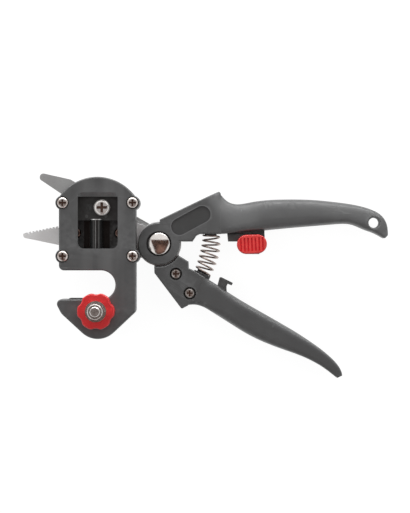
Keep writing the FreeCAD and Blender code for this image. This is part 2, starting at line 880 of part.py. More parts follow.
def make_lower_handle():
    body = new_body("lower_handle")
    front = LAYERS["front"]
    corners = lower_plate_corners()
    arcs = {len(corners) - 1: (size("shoulder_radius"), False, False)}
    pad(body, "lower_plate", outline(new_sketch(body, "lower_outline"), corners, arcs), front)
    round_corners(body, "lower_horn_round", [corners[6]], size("horn_round"))
    rim = edges_at_height(body.Shape, front)
    dress(body, "Fillet", "lower_plate_round", rim, size("edge_round"))
    grip(
        body, LOWER_GRIP_SHARES, size("lower_grip_start"), size("lower_length"),
        size("lower_axis_angle"),
    )
    eye = circle(new_sketch(body, "rear_eye_outline", LAYERS["rear"]), ZERO, ZERO, size("eye_radius"))
    pad(body, "rear_eye", eye, size("rear_eye_thickness"))
    neck = new_sketch(body, "rear_neck_outline", LAYERS["rear"])
    outline(neck, [
        (-size("neck_left_x"), -size("neck_left_y")),
        corners[-1],
        (ZERO, -size("neck_low_y")),
        (size("neck_right_x"), -size("neck_right_y")),
        corners[0],
        (size("neck_top_x"), ZERO),
    ])
    pad(body, "rear_neck", neck, size("rear_eye_thickness"))
    slot = lever_tang(new_sketch(body, "tang_slot_outline", LAYERS["lever"]), ZERO)
    pocket(body, "tang_slot", slot, size("lever_thickness"))
    bore = new_sketch(body, "pivot_bore_outline")
    circle(bore, ZERO, ZERO, size("pivot_radius") + size("running_clearance"))
    pocket(body, "pivot_bore", bore, front)
    for number, (x, y) in enumerate(tang_screw_places(), start=1):
        for name, radius, low, high in (
            ("hole", size("tang_screw_radius") + size("running_clearance"), ZERO, front),
            ("bore", size("tang_bore_radius"), front - size("tang_bore_depth"), front + size("overrun")),
        ):
            sketch = circle(new_sketch(body, f"screw_{name}_{number}_outline", low), x, y, radius)
            pocket(body, f"screw_{name}_{number}", sketch, high - low)
        sketch = hexagon(new_sketch(body, f"nut_pocket_{number}_outline"), x, y, nut_flats())
        pocket(body, f"nut_pocket_{number}", sketch, size("head_nut_height"))
    root = outline(new_sketch(body, "catch_root_outline", front / 2), catch_root_corners())
    pocket(body, "catch_root", root, size("catch_depth"))
    cut_spring_seat(body)
    return body


def cut_spring_seat(body):
    """The round seat of the spring's flange, cut square to the spring's lower end."""
    angle, thick = size("seat_angle"), size("seat_thickness")
    heading = angle - 90
    sketch = new_sketch(body, "spring_seat_outline", ZERO, "XZ_Plane")
    sketch.AttachmentOffset = Placement(Vector(), Rotation(Vector(0, 1, 0), heading.value))
    bind(sketch, "AttachmentOffset.Rotation.Angle", heading)
    bind(sketch, "AttachmentOffset.Base.x", size("spring_foot_x") - thick * cosine(angle))
    bind(sketch, "AttachmentOffset.Base.y", LAYERS["front"] / 2)
    bind(sketch, "AttachmentOffset.Base.z", size("spring_foot_y") + thick * sine(angle))
    circle(sketch, ZERO, ZERO, size("seat_radius") + size("running_clearance"))
    pocket(body, "spring_seat_cut", sketch, thick + size("overrun"), forward=False)


def nut_flats():
    """Width of the pocket that holds a small nut."""
    return size("head_nut_flats") + size("running_clearance") * 2


def make_cutting_blade():
    body = new_body("cutting_blade")
    low, depth = LAYERS["lever"], size("lever_thickness")
    slope = size("blade_edge_slope")
    point = (-size("blade_point_x"), size("blade_point_y"))
    root_x = -size("blade_root_x")
    tip = (-size("blade_tip_x"), size("blade_tip_y"))
    corners = [
        tip,
        point,
        (root_x, point[1] - (root_x - point[0]) * slope),
        (ZERO, -size("pivot_radius")),
        (-size("blade_heel_x"), size("blade_heel_y")),
        (-size("blade_back_x"), size("blade_back_y")),
    ]
    pad(body, "blade", outline(new_sketch(body, "blade_outline", low), corners), depth)
    round_corners(body, "tip_round", [tip, point], size("blade_tip_round"))
    eye = circle(new_sketch(body, "ring_outline", low), ZERO, ZERO, size("eye_radius"))
    pad(body, "ring", eye, depth)
    pad(body, "tang", lever_tang(new_sketch(body, "tang_outline", low), ZERO), depth)
    holes = new_sketch(body, "hole_outlines", low)
    circle(holes, ZERO, ZERO, size("pivot_radius") + size("running_clearance"))
    for x, y in tang_screw_places():
        circle(holes, x, y, size("tang_screw_radius") + size("running_clearance"))
    pocket(body, "holes", holes, depth)
    pocket(body, "drive_slot", drive_slot(new_sketch(body, "drive_slot_outline", low)), depth)
    grind_bevel(body, point)
    return body


def drive_slot(sketch):
    """The slot that drives the carrier. It runs towards the pivot, a little ahead of the line to it,
    so that the screw keeps to both of its sides in turn as the handles close."""
    x, y = -size("drive_x"), size("drive_y")
    reach = Size(math.hypot(x.value, y.value), f"hypot({x.text}; {y.text})")
    lead_x, lead_y = y / reach * size("slot_lead"), -x / reach * size("slot_lead")
    inner = (reach - size("slot_travel")) / reach
    outer = (reach + size("running_clearance") * 2) / reach
    ends = [(x * share + lead_x, y * share + lead_y) for share in (inner, outer)]
    return stadium(sketch, ends[0], ends[1], size("slot_half_width"))


def grind_bevel(body, point):
    """The ground slope along the cutting edge, on the side away from the counter blade."""
    width, depth, over = size("bevel_width"), size("bevel_depth"), size("overrun")
    rise = over * depth / width
    low = LAYERS["lever"]
    sketch = new_sketch(body, "bevel_profile", ZERO, "YZ_Plane")
    heading = -arc_tangent(size("blade_edge_slope"))
    sketch.AttachmentOffset = Placement(Vector(), Rotation(Vector(0, 1, 0), heading.value))
    bind(sketch, "AttachmentOffset.Rotation.Angle", heading)
    bind(sketch, "AttachmentOffset.Base.z", point[0] - over)
    bind(sketch, "AttachmentOffset.Base.x", point[1] + over * size("blade_edge_slope"))
    outline(sketch, [
        (-over, low + depth + rise),
        (-over, low - rise),
        (width + over, low - rise),
    ])
    pocket(body, "bevel", sketch, size("bevel_length"))


def make_counter_blade():
    body = new_body("counter_blade")
    low, depth = LAYERS["counter"], size("counter_thickness")
    tip = (-size("jaw_tip_x"), size("jaw_tip_y"))
    under_tip = (-size("jaw_point_x"), size("jaw_point_y"))
    corners = [
        tip,
        under_tip,
        (-size("jaw_under_x"), -size("jaw_under_y")),
        (-size("jaw_root_x"), -size("jaw_root_low")),
        (ZERO, -size("counter_ring_radius") / 2),
        (ZERO, size("counter_ring_radius") / 2),
        (-size("jaw_root_x"), size("jaw_root_high")),
    ]
    pad(body, "jaw", outline(new_sketch(body, "jaw_outline", low), corners), depth)
    round_corners(body, "tip_round", [tip, under_tip], size("jaw_tip_round"))
    ring = circle(new_sketch(body, "ring_outline", low), ZERO, ZERO, size("counter_ring_radius"))
    pad(body, "ring", ring, depth)
    pad(body, "tang", jaw_tang(new_sketch(body, "tang_outline", low), ZERO), depth)
    holes = new_sketch(body, "hole_outlines", low)
    circle(holes, ZERO, ZERO, size("pivot_radius") + size("running_clearance"))
    for x, y in mount_screw_places():
        circle(holes, x, y, size("mount_screw_radius") + size("running_clearance"))
    pocket(body, "holes", holes, depth)
    notch = new_sketch(body, "notch_outline", low)
    half = size("notch_half_width")
    floor = size("notch_floor_y") + half
    left, right = -size("drive_x") - half, -size("drive_x") + half
    top = size("drive_y") + half
    outline(notch, [(left, top), (left, floor), (right, floor), (right, top)], {1: HALF_TURN})
    pocket(body, "notch", notch, depth)
    cut_teeth(body, low, depth)
    return body


def cut_teeth(body, low, depth):
    """A row of pointed gullets along the top edge of the counter blade."""
    pitch, deep = size("tooth_pitch"), size("tooth_depth")
    sketch = new_sketch(body, "gullet_outline", low)
    bind(sketch, "AttachmentOffset.Base.x", -size("tooth_start_x"))
    bind(sketch, "AttachmentOffset.Base.y", size("tooth_start_y"))
    bind(sketch, "AttachmentOffset.Rotation.Angle", size("tooth_line_angle"))
    outline(sketch, [(-pitch / 2, deep), (ZERO, -deep), (pitch / 2, deep)])
    gullet = pocket(body, "gullet", sketch, depth)
    row = body.newObject("PartDesign::LinearPattern", "gullets")
    row.Originals = [gullet]
    row.Direction = (sketch, ["H_Axis"])
    run = size("tooth_start_x") - size("head_left_x") + size("tooth_lap")
    count = math.floor(run.value / pitch.value)
    bind(row, "Length", pitch * (count - 1))
    row.Occurrences = count
    body.Tip = row
    DOC.recompute()


def mount_screw_places():
    y = size("mount_screw_y")
    return [(-size("mount_screw_left_x"), y), (-size("mount_screw_right_x"), y)]


def arch_radius(width, rise):
    """Radius of the arc that rises so far over a width."""
    return (width * width / (rise * 4) + rise) / 2


def head_screw_places():
    left, top = -size("head_screw_left_x"), size("head_screw_top_y")
    right, low = left + size("head_screw_pitch_x"), top - size("head_screw_pitch_y")
    return [(left, top), (right, top), (left, low), (right, low)]


def head_outline(body, height, depth):
    """The C-shaped plan of the grafting head, with its four screw ears."""
    throat = size("throat_radius")
    bottom = -size("head_bottom_y")
    jaw_top = bottom - throat * 2
    left, right = -size("head_left_x"), -size("head_right_x")
    end_x = -size("throat_end_x")
    nose = (-size("jaw_nose_x"), jaw_top)
    knee = (-size("jaw_knee_x"), -size("jaw_knee_y"))
    keel = (-size("jaw_keel_x"), -size("jaw_keel_y"))
    heel = (right, -size("jaw_heel_y"))
    corner = (left, bottom)
    corners = [
        corner,
        (end_x, bottom),
        (end_x, jaw_top),
        nose,
        knee,
        keel,
        heel,
        (right, size("head_shoulder_y")),
        (left, size("head_shoulder_y")),
    ]
    arcs = {
        1: (None, True, False),
        7: (arch_radius(right - left, size("head_arch_rise")), False, False),
    }
    sketch = outline(new_sketch(body, "plan", height), corners, arcs)
    pad(body, "plate", sketch, depth)
    round_corners(body, "corner_round", [corner], size("head_corner_round"))
    round_corners(body, "nose_round", [nose], size("jaw_nose_round"))
    round_corners(body, "knee_round", [knee], size("jaw_knee_round"))
    round_corners(body, "keel_round", [keel], size("jaw_keel_round"))
    round_corners(body, "heel_round", [heel], size("jaw_heel_round"))
    for number, (x, y) in enumerate(head_screw_places(), start=1):
        ear = circle(new_sketch(body, f"ear_{number}_outline", height), x, y, size("head_ear_radius"))
        pad(body, f"ear_{number}", ear, depth)


def screw_holes(body, name, places, radius, low, high):
    sketch = new_sketch(body, f"{name}_outlines", low)
    for x, y in places:
        circle(sketch, x, y, radius)
    pocket(body, name, sketch, high - low)


def make_head_housing():
    body = new_body("head_housing")
    low, face = LAYERS["housing"], LAYERS["face"]
    over, play = size("overrun"), size("running_clearance")
    head_outline(body, low, face - low)
    rim = edges_at_height(body.Shape, face)
    dress(body, "Fillet", "face_round", rim, size("head_edge_round"))
    screw_holes(body, "screw_holes", head_screw_places(), size("head_screw_radius") + play, low, face)
    bore_floor = face - size("head_bore_depth")
    screw_holes(body, "bores", head_screw_places(), size("head_bore_radius"), bore_floor, face + over)
    chamber = new_sketch(body, "chamber_outline", low)
    rectangle(
        chamber, -size("chamber_left_x"), -size("chamber_right_x"),
        -size("chamber_bottom_y"), size("chamber_top_y"),
    )
    pocket(body, "chamber", chamber, chamber_depth())
    channel = new_sketch(body, "channel_outline", low)
    rectangle(
        channel, -size("channel_left_x"), -size("channel_right_x"),
        -size("head_bottom_y") - over, -size("chamber_bottom_y"),
    )
    pocket(body, "channel", channel, chamber_depth())
    jaw_top = -size("head_bottom_y") - size("throat_radius") * 2
    seat = outline(new_sketch(body, "anvil_seat_outline", low), anvil_corners(jaw_top + over, play))
    pocket(body, "anvil_seat", seat, anvil_depth())
    window = new_sketch(body, "window_outline", low)
    left, right = -size("window_left_x"), -size("window_right_x")
    bottom, top = -size("window_bottom_y"), size("window_top_y")
    rectangle(window, left, right, bottom, top)
    pocket(body, "window", window, face - low)
    round_corners(body, "window_corners", [(left, bottom), (right, bottom)], size("window_round"))
    slope_window_lip(body, left, right, top)
    screw_holes(body, "clamp_hole", [clamp_place()], size("clamp_radius") + play, low, face)
    return body


def slope_window_lip(body, left, right, top):
    """The slope with rounded corners that leads down into the window's far end."""
    reach = size("window_lip")
    turn = reach + size("window_lip_corner")
    low, crest = top - reach * 2, top + reach
    corners = [(left, low), (right, low), (right, crest - turn), (right - turn, crest)]
    corners += [(left + turn, crest), (left, crest - turn)]
    arcs = {2: (turn, False, False), 4: (turn, False, False)}
    slope = outline(new_sketch(body, "window_lip_outline", LAYERS["face"]), corners, arcs)
    feature = pocket(body, "window_lip_slope", slope, reach, forward=False)
    feature.TaperAngle = LIP_SLOPE
    DOC.recompute()


def make_head_back_plate():
    body = new_body("head_back_plate")
    low, depth = LAYERS["counter_top"], size("back_plate_thickness")
    top = low + depth
    play = size("running_clearance")
    head_outline(body, low, depth)
    screw_holes(body, "screw_holes", head_screw_places(), size("head_screw_radius") + play, low, top)
    nuts = new_sketch(body, "nut_outlines", low)
    for x, y in head_screw_places():
        hexagon(nuts, x, y, nut_flats())
    pocket(body, "nut_pockets", nuts, size("head_nut_height"))
    screw_holes(body, "mount_holes", mount_screw_places(), size("mount_screw_radius") + play, low, top)
    screw_holes(
        body, "mount_bores", mount_screw_places(), size("mount_bore_radius"),
        top - size("mount_bore_depth"), top + size("overrun"),
    )
    gate = new_sketch(body, "gate_outline", low)
    left, right = -size("gate_left_x"), -size("gate_right_x")
    rectangle(gate, left, right, size("gate_bottom_y"), size("gate_top_y"))
    pocket(body, "gate", gate, depth)
    round_corners(
        body, "gate_corners",
        [(x, y) for x in (left, right) for y in (size("gate_bottom_y"), size("gate_top_y"))],
        size("edge_round"),
    )
    screw_holes(body, "clamp_hole", [clamp_place()], size("clamp_radius") + play, low, top)
    return body


def clamp_place():
    return (-size("clamp_x"), -size("clamp_y"))


def pan_screws(label, places, seat, sizes, foot):
    """Cross-recessed pan head screws, heads up, from the seat plane down to the foot plane."""
    head_radius, head_height, radius = sizes
    body = new_body(label)
    shanks = new_sketch(body, "shank_outlines", foot)
    for x, y in places:
        circle(shanks, x, y, radius)
    pad(body, "shanks", shanks, seat - foot)
    heads = new_sketch(body, "head_outlines", seat)
    for x, y in places:
        circle(heads, x, y, head_radius)
    pad(body, "heads", heads, head_height)
    rims = edges_at_height(body.Shape, seat + head_height)
    dress(body, "Fillet", "head_round", rims, head_height * SCREW_SHARES["round"])
    recess = new_sketch(body, "recess_outlines", seat + head_height * SCREW_SHARES["recess_floor"])
    for x, y in places:
        cross(
            recess, x, y, head_radius * SCREW_SHARES["recess_reach"],
            head_radius * SCREW_SHARES["recess_half"],
        )
    pocket(body, "recesses", recess, head_height)
    return body


def nuts(label, places, low, height, flats, bore):
    """Plain hexagon nuts on the given places."""
    body = new_body(label)
    hexagons = new_sketch(body, "hexagons", low)
    for x, y in places:
        hexagon(hexagons, x, y, flats)
    pad(body, "blanks", hexagons, height)
    holes = new_sketch(body, "bores_outline", low)
    for x, y in places:
        circle(holes, x, y, bore + size("running_clearance"))
    pocket(body, "bores", holes, height)
    return body


def make_fasteners():
    face, front = LAYERS["face"], LAYERS["front"]
    pan_screws(
        "head_screws", head_screw_places(), face - size("head_bore_depth"),
        (size("head_screw_head_radius"), size("head_screw_head_height"), size("head_screw_radius")),
        LAYERS["counter_top"],
    )
    nuts(
        "head_nuts", head_screw_places(), LAYERS["counter_top"], size("head_nut_height"),
        size("head_nut_flats"), size("head_screw_radius"),
    )
    pan_screws(
        "head_mount_screws", mount_screw_places(), LAYERS["housing"] - size("mount_bore_depth"),
        (size("mount_screw_head_radius"), size("mount_screw_head_height"), size("mount_screw_radius")),
        LAYERS["counter"],
    )
    pan_screws(
        "tang_screws", tang_screw_places(), front - size("tang_bore_depth"),
        (size("tang_screw_head_radius"), size("tang_screw_head_height"), size("tang_screw_radius")),
        ZERO,
    )
    nuts(
        "tang_nuts", tang_screw_places(), ZERO, size("head_nut_height"),
        size("head_nut_flats"), size("tang_screw_radius"),
    )


def make_pivot():
    body = new_body("pivot_bolt")
    seat = LAYERS["front"] - size("pivot_recess_depth")
    rim = seat + size("pivot_head_rim")
    crown = rim + size("pivot_dome_height")
    head, rise = size("pivot_head_radius"), size("pivot_dome_height")
    dome = (head * head + rise * rise) / (rise * 2)
    sketch = new_sketch(body, "bolt_profile", ZERO, "XZ_Plane")
    outline(sketch, [
        (ZERO, ZERO),
        (size("pivot_radius"), ZERO),
        (size("pivot_radius"), seat),
        (head, seat),
        (head, rim),
        (ZERO, crown),
    ], {4: (dome, False, False)})
    turn = body.newObject("PartDesign::Revolution", "turned")
    turn.Profile = sketch
    turn.ReferenceAxis = (sketch, ["V_Axis"])
    turn.Angle = 360
    DOC.recompute()
    nuts(
        "pivot_nut", [(ZERO, ZERO)], ZERO, size("pivot_nut_height"),
        size("pivot_nut_flats"), size("pivot_radius"),
    )


def graft_profile(sketch, low):
    """Section of the grafting blade across its cut: flange, neck, loop, neck, flange."""
    gauge, neck = size("graft_gauge"), size("graft_neck_half")
    outer = size("graft_loop_radius")
    inner = outer - gauge
    centre_x = -size("graft_centre_x")
    top = low + gauge
    centre = low + gauge + size("graft_loop_height")

    def drop(radius, half):
        value = math.sqrt(radius.value ** 2 - half.value ** 2)
        return Size(value, f"sqrt({radius.text} ^ 2 - {half.text} ^ 2)")

    wide = neck + gauge
    inner_z, outer_z = centre - drop(inner, neck), centre - drop(outer, wide)
    left, right = -size("graft_flange_left_x"), -size("graft_flange_right_x")
    corners = [
        (left, low),
        (centre_x - neck, low),
        (centre_x - neck, inner_z),
        (centre_x + neck, inner_z),
        (centre_x + neck, low),
        (right, low),
        (right, top),
        (centre_x + wide, top),
        (centre_x + wide, outer_z),
        (centre_x - wide, outer_z),
        (centre_x - wide, top),
        (left, top),
    ]
    return outline(sketch, corners, {2: (inner, True, True), 8: (outer, False, True)})


def make_carrier():
    body = new_body("blade_carrier")
    play = size("running_clearance")
    low = LAYERS["housing"] + play * 2
    depth = carrier_depth()
    left = -size("chamber_left_x") + size("side_clearance")
    right = -size("chamber_right_x") - size("side_clearance")
    bottom, top = size("carrier_bottom_y"), size("carrier_top_y")
    plan = rectangle(new_sketch(body, "block_outline", low), left, right, bottom, top)
    pad(body, "block", plan, depth)
    drive = (-size("drive_x"), size("drive_y"))
    screw_holes(body, "drive_hole", [drive], size("drive_radius") + play, low, low + depth)
    relief = new_sketch(body, "relief_outline", low)
    x, y, w, h = -size("relief_x"), size("relief_y"), size("relief_width"), size("relief_height")
    outline(relief, [(x, y + w / 2), (x + w, y), (x + w, y + h), (x + w / 2, y + h)])
    pocket(body, "relief", relief, depth)
    flange = new_sketch(body, "flange_seat_outline", low)
    rectangle(
        flange, -size("graft_flange_left_x") - play, -size("graft_flange_right_x") + play,
        bottom - play, size("graft_top_y") + play,
    )
    pocket(body, "flange_seat", flange, size("graft_gauge") + play * 2)
    loop = new_sketch(body, "loop_seat_outline", low)
    reach = size("graft_loop_radius") + play
    rectangle(
        loop, -size("graft_centre_x") - reach, -size("graft_centre_x") + reach,
        bottom - play, size("graft_loop_top_y") + play,
    )
    pocket(body, "loop_seat", loop, depth)
    screw_holes(body, "pin_holes", graft_pin_places(), size("graft_pin_radius") + play, low, low + depth)
    edges = edges_at_height(body.Shape, low + depth, lambda e: abs(e.BoundBox.YMin - top.value) < TOLERANCE)
    dress(body, "Chamfer", "top_slope", edges, size("edge_round"))
    return body


def graft_pin_places():
    y = size("graft_pin_y")
    return [(-size("graft_pin_left_x"), y), (-size("graft_pin_right_x"), y)]


def make_grafting_blade():
    body = new_body("grafting_blade")
    play = size("running_clearance")
    low = LAYERS["housing"] + play * 3
    top, edge = size("graft_top_y"), -size("graft_edge_y")
    sketch = new_sketch(body, "omega_profile", -top, "XZ_Plane")
    strip = body.newObject("PartDesign::Pad", "strip")
    strip.Profile = graft_profile(sketch, low)
    bind(strip, "Length", top - edge)
    DOC.recompute()
    above = new_sketch(body, "loop_end_outline", low + size("graft_gauge") + play)
    reach = size("graft_loop_radius") + play
    centre = -size("graft_centre_x")
    rectangle(above, centre - reach, centre + reach, size("graft_loop_top_y"), top + play)
    pocket(body, "loop_end", above, size("graft_loop_radius") * 2 + size("overrun"))
    screw_holes(
        body, "pin_holes", graft_pin_places(), size("graft_pin_radius") + play, low,
        low + size("graft_gauge"),
    )
    pins = new_body("blade_pins")
    sketch = new_sketch(pins, "pin_outlines", LAYERS["housing"] + play * 2)
    for x, y in graft_pin_places():
        circle(sketch, x, y, size("graft_pin_radius"))
    pad(pins, "pins", sketch, carrier_depth())


def make_drive_screw():
    play = size("running_clearance")
    seat = LAYERS["housing"] + play * 2 + carrier_depth()
    drive = [(-size("drive_x"), size("drive_y"))]
    nut_top = LAYERS["lever"] - size("blade_gap")
    nut_low = nut_top - size("drive_nut_height")
    pan_screws(
        "drive_screw", drive, seat,
        (size("drive_head_radius"), size("drive_head_height"), size("drive_radius")), nut_low,
    )
    nuts(
        "drive_nut", drive, nut_low, size("drive_nut_height"), size("drive_nut_flats"),
        size("drive_radius"),
    )


def anvil_corners(top, play):
    """The anvil's plan, up to the given top and with play at its two sides."""
    left, right = -size("anvil_left_x") - play, -size("anvil_right_x") + play
    bottom = -size("anvil_top_y") - size("anvil_height")
    return [
        (left, top),
        (left, -size("anvil_heel_y")),
        (-size("anvil_heel_x"), bottom),
        (right, bottom),
        (right, top),
    ]


def make_anvil():
    body = new_body("anvil")
    play = size("running_clearance")
    low = LAYERS["housing"]
    corners = anvil_corners(-size("anvil_top_y"), ZERO)
    pad(body, "block", outline(new_sketch(body, "anvil_outline", low), corners), anvil_depth())
    corner = upright_edges(body.Shape, corners[:1])
    dress(body, "Chamfer", "left_slope", corner, size("anvil_chamfer"))
    screw_holes(
        body, "clamp_hole", [clamp_place()], size("clamp_radius") + play, low,
        low + anvil_depth(),
    )


def knob_heights():
    """Heights of the stack on the clamp bolt: knob, washer, nut, collar and bolt end."""
    knob = LAYERS["face"] + size("running_clearance")
    washer = knob + size("knob_height")
    nut = washer + size("washer_thickness")
    collar = nut + size("locknut_height")
    end = collar + size("locknut_collar_height") + size("bolt_stand_out")
    return knob, washer, nut, collar, end


def make_clamp():
    x, y = clamp_place()
    knob, washer, nut, collar, end = knob_heights()
    play = size("running_clearance")
    bolt = new_body("clamp_bolt")
    head_low = LAYERS["counter_top"] - size("clamp_bolt_head")
    head = hexagon(new_sketch(bolt, "head_outline", head_low), x, y, size("clamp_bolt_flats"))
    pad(bolt, "head", head, size("clamp_bolt_head"))
    shank = circle(new_sketch(bolt, "shank_outline", LAYERS["counter_top"]), x, y, size("clamp_radius"))
    pad(bolt, "shank", shank, end - LAYERS["counter_top"])
    rim = edges_at_height(bolt.Shape, end)
    dress(bolt, "Chamfer", "bolt_point", rim, size("clamp_radius") * BOLT_POINT_SHARE)

    wheel = new_body("clamp_knob")
    blank = circle(new_sketch(wheel, "blank_outline", knob), x, y, size("knob_radius"))
    pad(wheel, "blank", blank, size("knob_height"))
    scallops = new_sketch(wheel, "scallop_outlines", knob)
    reach = size("knob_radius") - size("knob_scallop_depth") + size("knob_scallop_radius")
    dips = [math.radians(turn) for turn in range(30, 390, 60)]
    for dip in dips:
        circle(scallops, x + reach * math.cos(dip), y + reach * math.sin(dip), size("knob_scallop_radius"))
    pocket(wheel, "scallops", scallops, size("knob_height"))
    lobes = [
        (edge.Vertexes[0].X, edge.Vertexes[0].Y)
        for edge in wheel.Shape.Edges
        if straight(edge)
    ]
    corners = [(as_size(a), as_size(b)) for a, b in dict.fromkeys(lobes)]
    round_corners(wheel, "lobe_round", corners, size("knob_scallop_radius") * LOBE_ROUND_SHARE)
    rims = edges_at_height(wheel.Shape, washer)
    dress(wheel, "Fillet", "rim_round", rims, size("knob_edge_round"))
    screw_holes(wheel, "bore", [(x, y)], size("clamp_radius") + play, knob, washer)

    ring = new_body("clamp_washer")
    disc = circle(new_sketch(ring, "disc_outline", washer), x, y, size("washer_radius"))
    pad(ring, "disc", disc, size("washer_thickness"))
    screw_holes(ring, "bore", [(x, y)], size("clamp_radius") + play, washer, nut)

    lock = nuts(
        "clamp_locknut", [(x, y)], nut, size("locknut_height"), size("clamp_bolt_flats"),
        size("clamp_radius"),
    )
    sleeve = circle(new_sketch(lock, "collar_outline", collar), x, y, size("locknut_collar_radius"))
    circle(sleeve, x, y, size("clamp_radius") + play)
    pad(lock, "collar", sleeve, size("locknut_collar_height"))
    bore = (size("clamp_radius") + play).value + TOLERANCE
    rim = edges_at_height(
        lock.Shape, collar + size("locknut_collar_height"), lambda e: e.Curve.Radius > bore
    )
    dress(lock, "Fillet", "collar_round", rim, size("edge_round"))


def make_lock():
    body = new_body("lock_slider")
    middle = LAYERS["front"] / 2
    depth = size("slider_depth")
    left, right = size("slider_left_x"), size("slider_right_x")
    low, high = size("slider_low_y"), size("slider_high_y")
    sketch = new_sketch(body, "block_outline", middle - depth / 2)
    outline(sketch, [(left, high), (left + size("slider_slant"), low), (right, low), (right, high)])
    pad(body, "block", sketch, depth)
    neck = new_sketch(body, "neck_outline", middle - size("slider_neck_depth") / 2)
    rectangle(neck, left, right, high, size("slider_rail_high"))
    pad(body, "neck", neck, size("slider_neck_depth"))
    rail = new_sketch(body, "rail_outline", middle - depth / 2)
    rectangle(rail, left, right, size("slider_rail_low"), size("slider_rail_high"))
    pad(body, "rail", rail, depth)
    hook = new_sketch(body, "tongue_outline", middle)
    root, web = size("tongue_root_x"), size("tongue_right_x")
    tip_top, tip_low = -size("tongue_top_y"), -size("tongue_low_y")
    outline(hook, [
        (root, low),
        (root, tip_top),
        (size("tongue_left_x"), tip_top),
        (size("tongue_left_x"), tip_low),
        (web, tip_low),
        (web, low),
    ])
    pad(body, "tongue", hook, depth / 2)
    make_lock_pad(middle + depth / 2)


def make_lock_pad(low):
    body = new_body("lock_pad")
    tilt = size("pad_tilt")
    radius = size("pad_width") / 2
    half = size("pad_length") / 2 - radius
    centre = (size("pad_x"), -size("pad_y"))
    ends = [
        (centre[0] + half * cosine(tilt) * sign, centre[1] + half * sine(tilt) * sign)
        for sign in (-1, 1)
    ]
    plan = stadium(new_sketch(body, "pad_outline", low), ends[0], ends[1], radius)
    pad(body, "pad", plan, size("pad_thickness"))
    top = low + size("pad_thickness")
    rim = edges_at_height(body.Shape, top)
    dress(body, "Fillet", "pad_round", rim, size("edge_round"))
    floor = new_sketch(body, "rib_gap_outline", top - size("rib_depth"))
    count = math.floor(size("rib_field").value / size("rib_pitch").value)
    bind(floor, "AttachmentOffset.Base.x", centre[0])
    bind(floor, "AttachmentOffset.Base.y", centre[1])
    bind(floor, "AttachmentOffset.Rotation.Angle", tilt)
    start = -size("rib_pitch") * ((count - 1) / 2)
    gap, reach = size("rib_gap") / 2, size("rib_length") / 2
    rectangle(floor, start - gap, start + gap, -reach, reach)
    slot = pocket(body, "rib_gap", floor, size("overrun"))
    row = body.newObject("PartDesign::LinearPattern", "rib_gaps")
    row.Originals = [slot]
    row.Direction = (floor, ["H_Axis"])
    bind(row, "Length", size("rib_pitch") * (count - 1))
    row.Occurrences = count
    body.Tip = row
    DOC.recompute()


def catch_root_corners():
    """The foot of the catch, from its top left corner round to its neck."""
    return [(size(f"catch_{name}_x"), -size(f"catch_{name}_y")) for name in ("top", "left", "root", "neck")]


def make_catch():
    body = new_body("lock_catch")
    foot = catch_root_corners()
    hook = [
        (size("catch_under_x"), -size("catch_under_y")),
        (size("catch_nose_low_x"), -size("catch_nose_low_y")),
        (size("catch_nose_x"), -size("catch_nose_y")),
        (foot[0][0] + size("catch_crown"), foot[0][1]),
    ]
    sketch = outline(new_sketch(body, "catch_outline", LAYERS["front"] / 2), foot + hook)
    pad(body, "catch", sketch, size("catch_depth"))
    return body


def make_spring_seat():
    """Flanged stub on the lower handle, turned about the spring's lower end."""
    body = new_body("spring_seat")
    sketch = new_sketch(body, "seat_profile", ZERO, "XZ_Plane")
    flange, guide = size("seat_radius"), size("guide_radius")
    thick, reach = size("seat_thickness"), size("guide_length")
    outline(sketch, [
        (ZERO, -thick),
        (flange, -thick),
        (flange, ZERO),
        (guide, ZERO),
        (guide, reach),
        (ZERO, reach),
    ])
    turn = body.newObject("PartDesign::Revolution", "turned")
    turn.Profile = sketch
    turn.ReferenceAxis = (sketch, ["V_Axis"])
    turn.Angle = 360
    DOC.recompute()
    angle = size("seat_angle")
    lean = Rotation(Vector(0, 0, 1), angle.value - 90) * Rotation(Vector(1, 0, 0), -90)
    body.Placement = Placement(Vector(0, 0, 0), lean)
    bind(body, "Placement.Base.x", size("spring_foot_x"))
    bind(body, "Placement.Base.y", -size("spring_foot_y"))
    bind(body, "Placement.Base.z", LAYERS["front"] / 2)
    return body


def spring_axis(share):
    """Place, direction and radial directions of the spring's bowed axis, 0 at its top."""
    top = Vector(size("spring_top_x").value, size("spring_top_y").value, 0)
    foot = Vector(size("spring_foot_x").value, -size("spring_foot_y").value, 0)
    angle = math.radians(size("seat_angle").value)
    leave, arrive = Vector(0, -1, 0), Vector(-math.cos(angle), -math.sin(angle), 0)
    foot = foot - arrive * size("running_clearance").value
    run = (foot - top).Length
    h00 = 2 * share ** 3 - 3 * share ** 2 + 1
    h10 = share ** 3 - 2 * share ** 2 + share
    h01 = 3 * share ** 2 - 2 * share ** 3
    h11 = share ** 3 - share ** 2
    place = top * h00 + leave * (run * h10) + foot * h01 + arrive * (run * h11)
    slope = (
        top * (6 * share ** 2 - 6 * share)
        + leave * (run * (3 * share ** 2 - 4 * share + 1))
        + foot * (6 * share - 6 * share ** 2)
        + arrive * (run * (3 * share ** 2 - 2 * share))
    ).normalize()
    place.z = LAYERS["front"].value / 2
    return place, slope, Vector(-slope.y, slope.x, 0), Vector(0, 0, 1)


def outward(turn, axis_share):
    """Unit vector from the spring's axis to its wire, which ends on the right."""
    _, _, side, up = spring_axis(axis_share)
    spin = 2 * math.pi * (size("spring_turns").value - turn)
    return side * math.cos(spin) + up * math.sin(spin)


def coil_point(turn, first, last):
    """A point of the coil after so many turns. The coil is widest at its middle."""
    done = turn / size("spring_turns").value
    share = first + (last - first) * done
    radius = size("spring_radius").value + size("spring_belly").value * math.sin(math.pi * done)
    return spring_axis(share)[0] + outward(turn, share) * radius


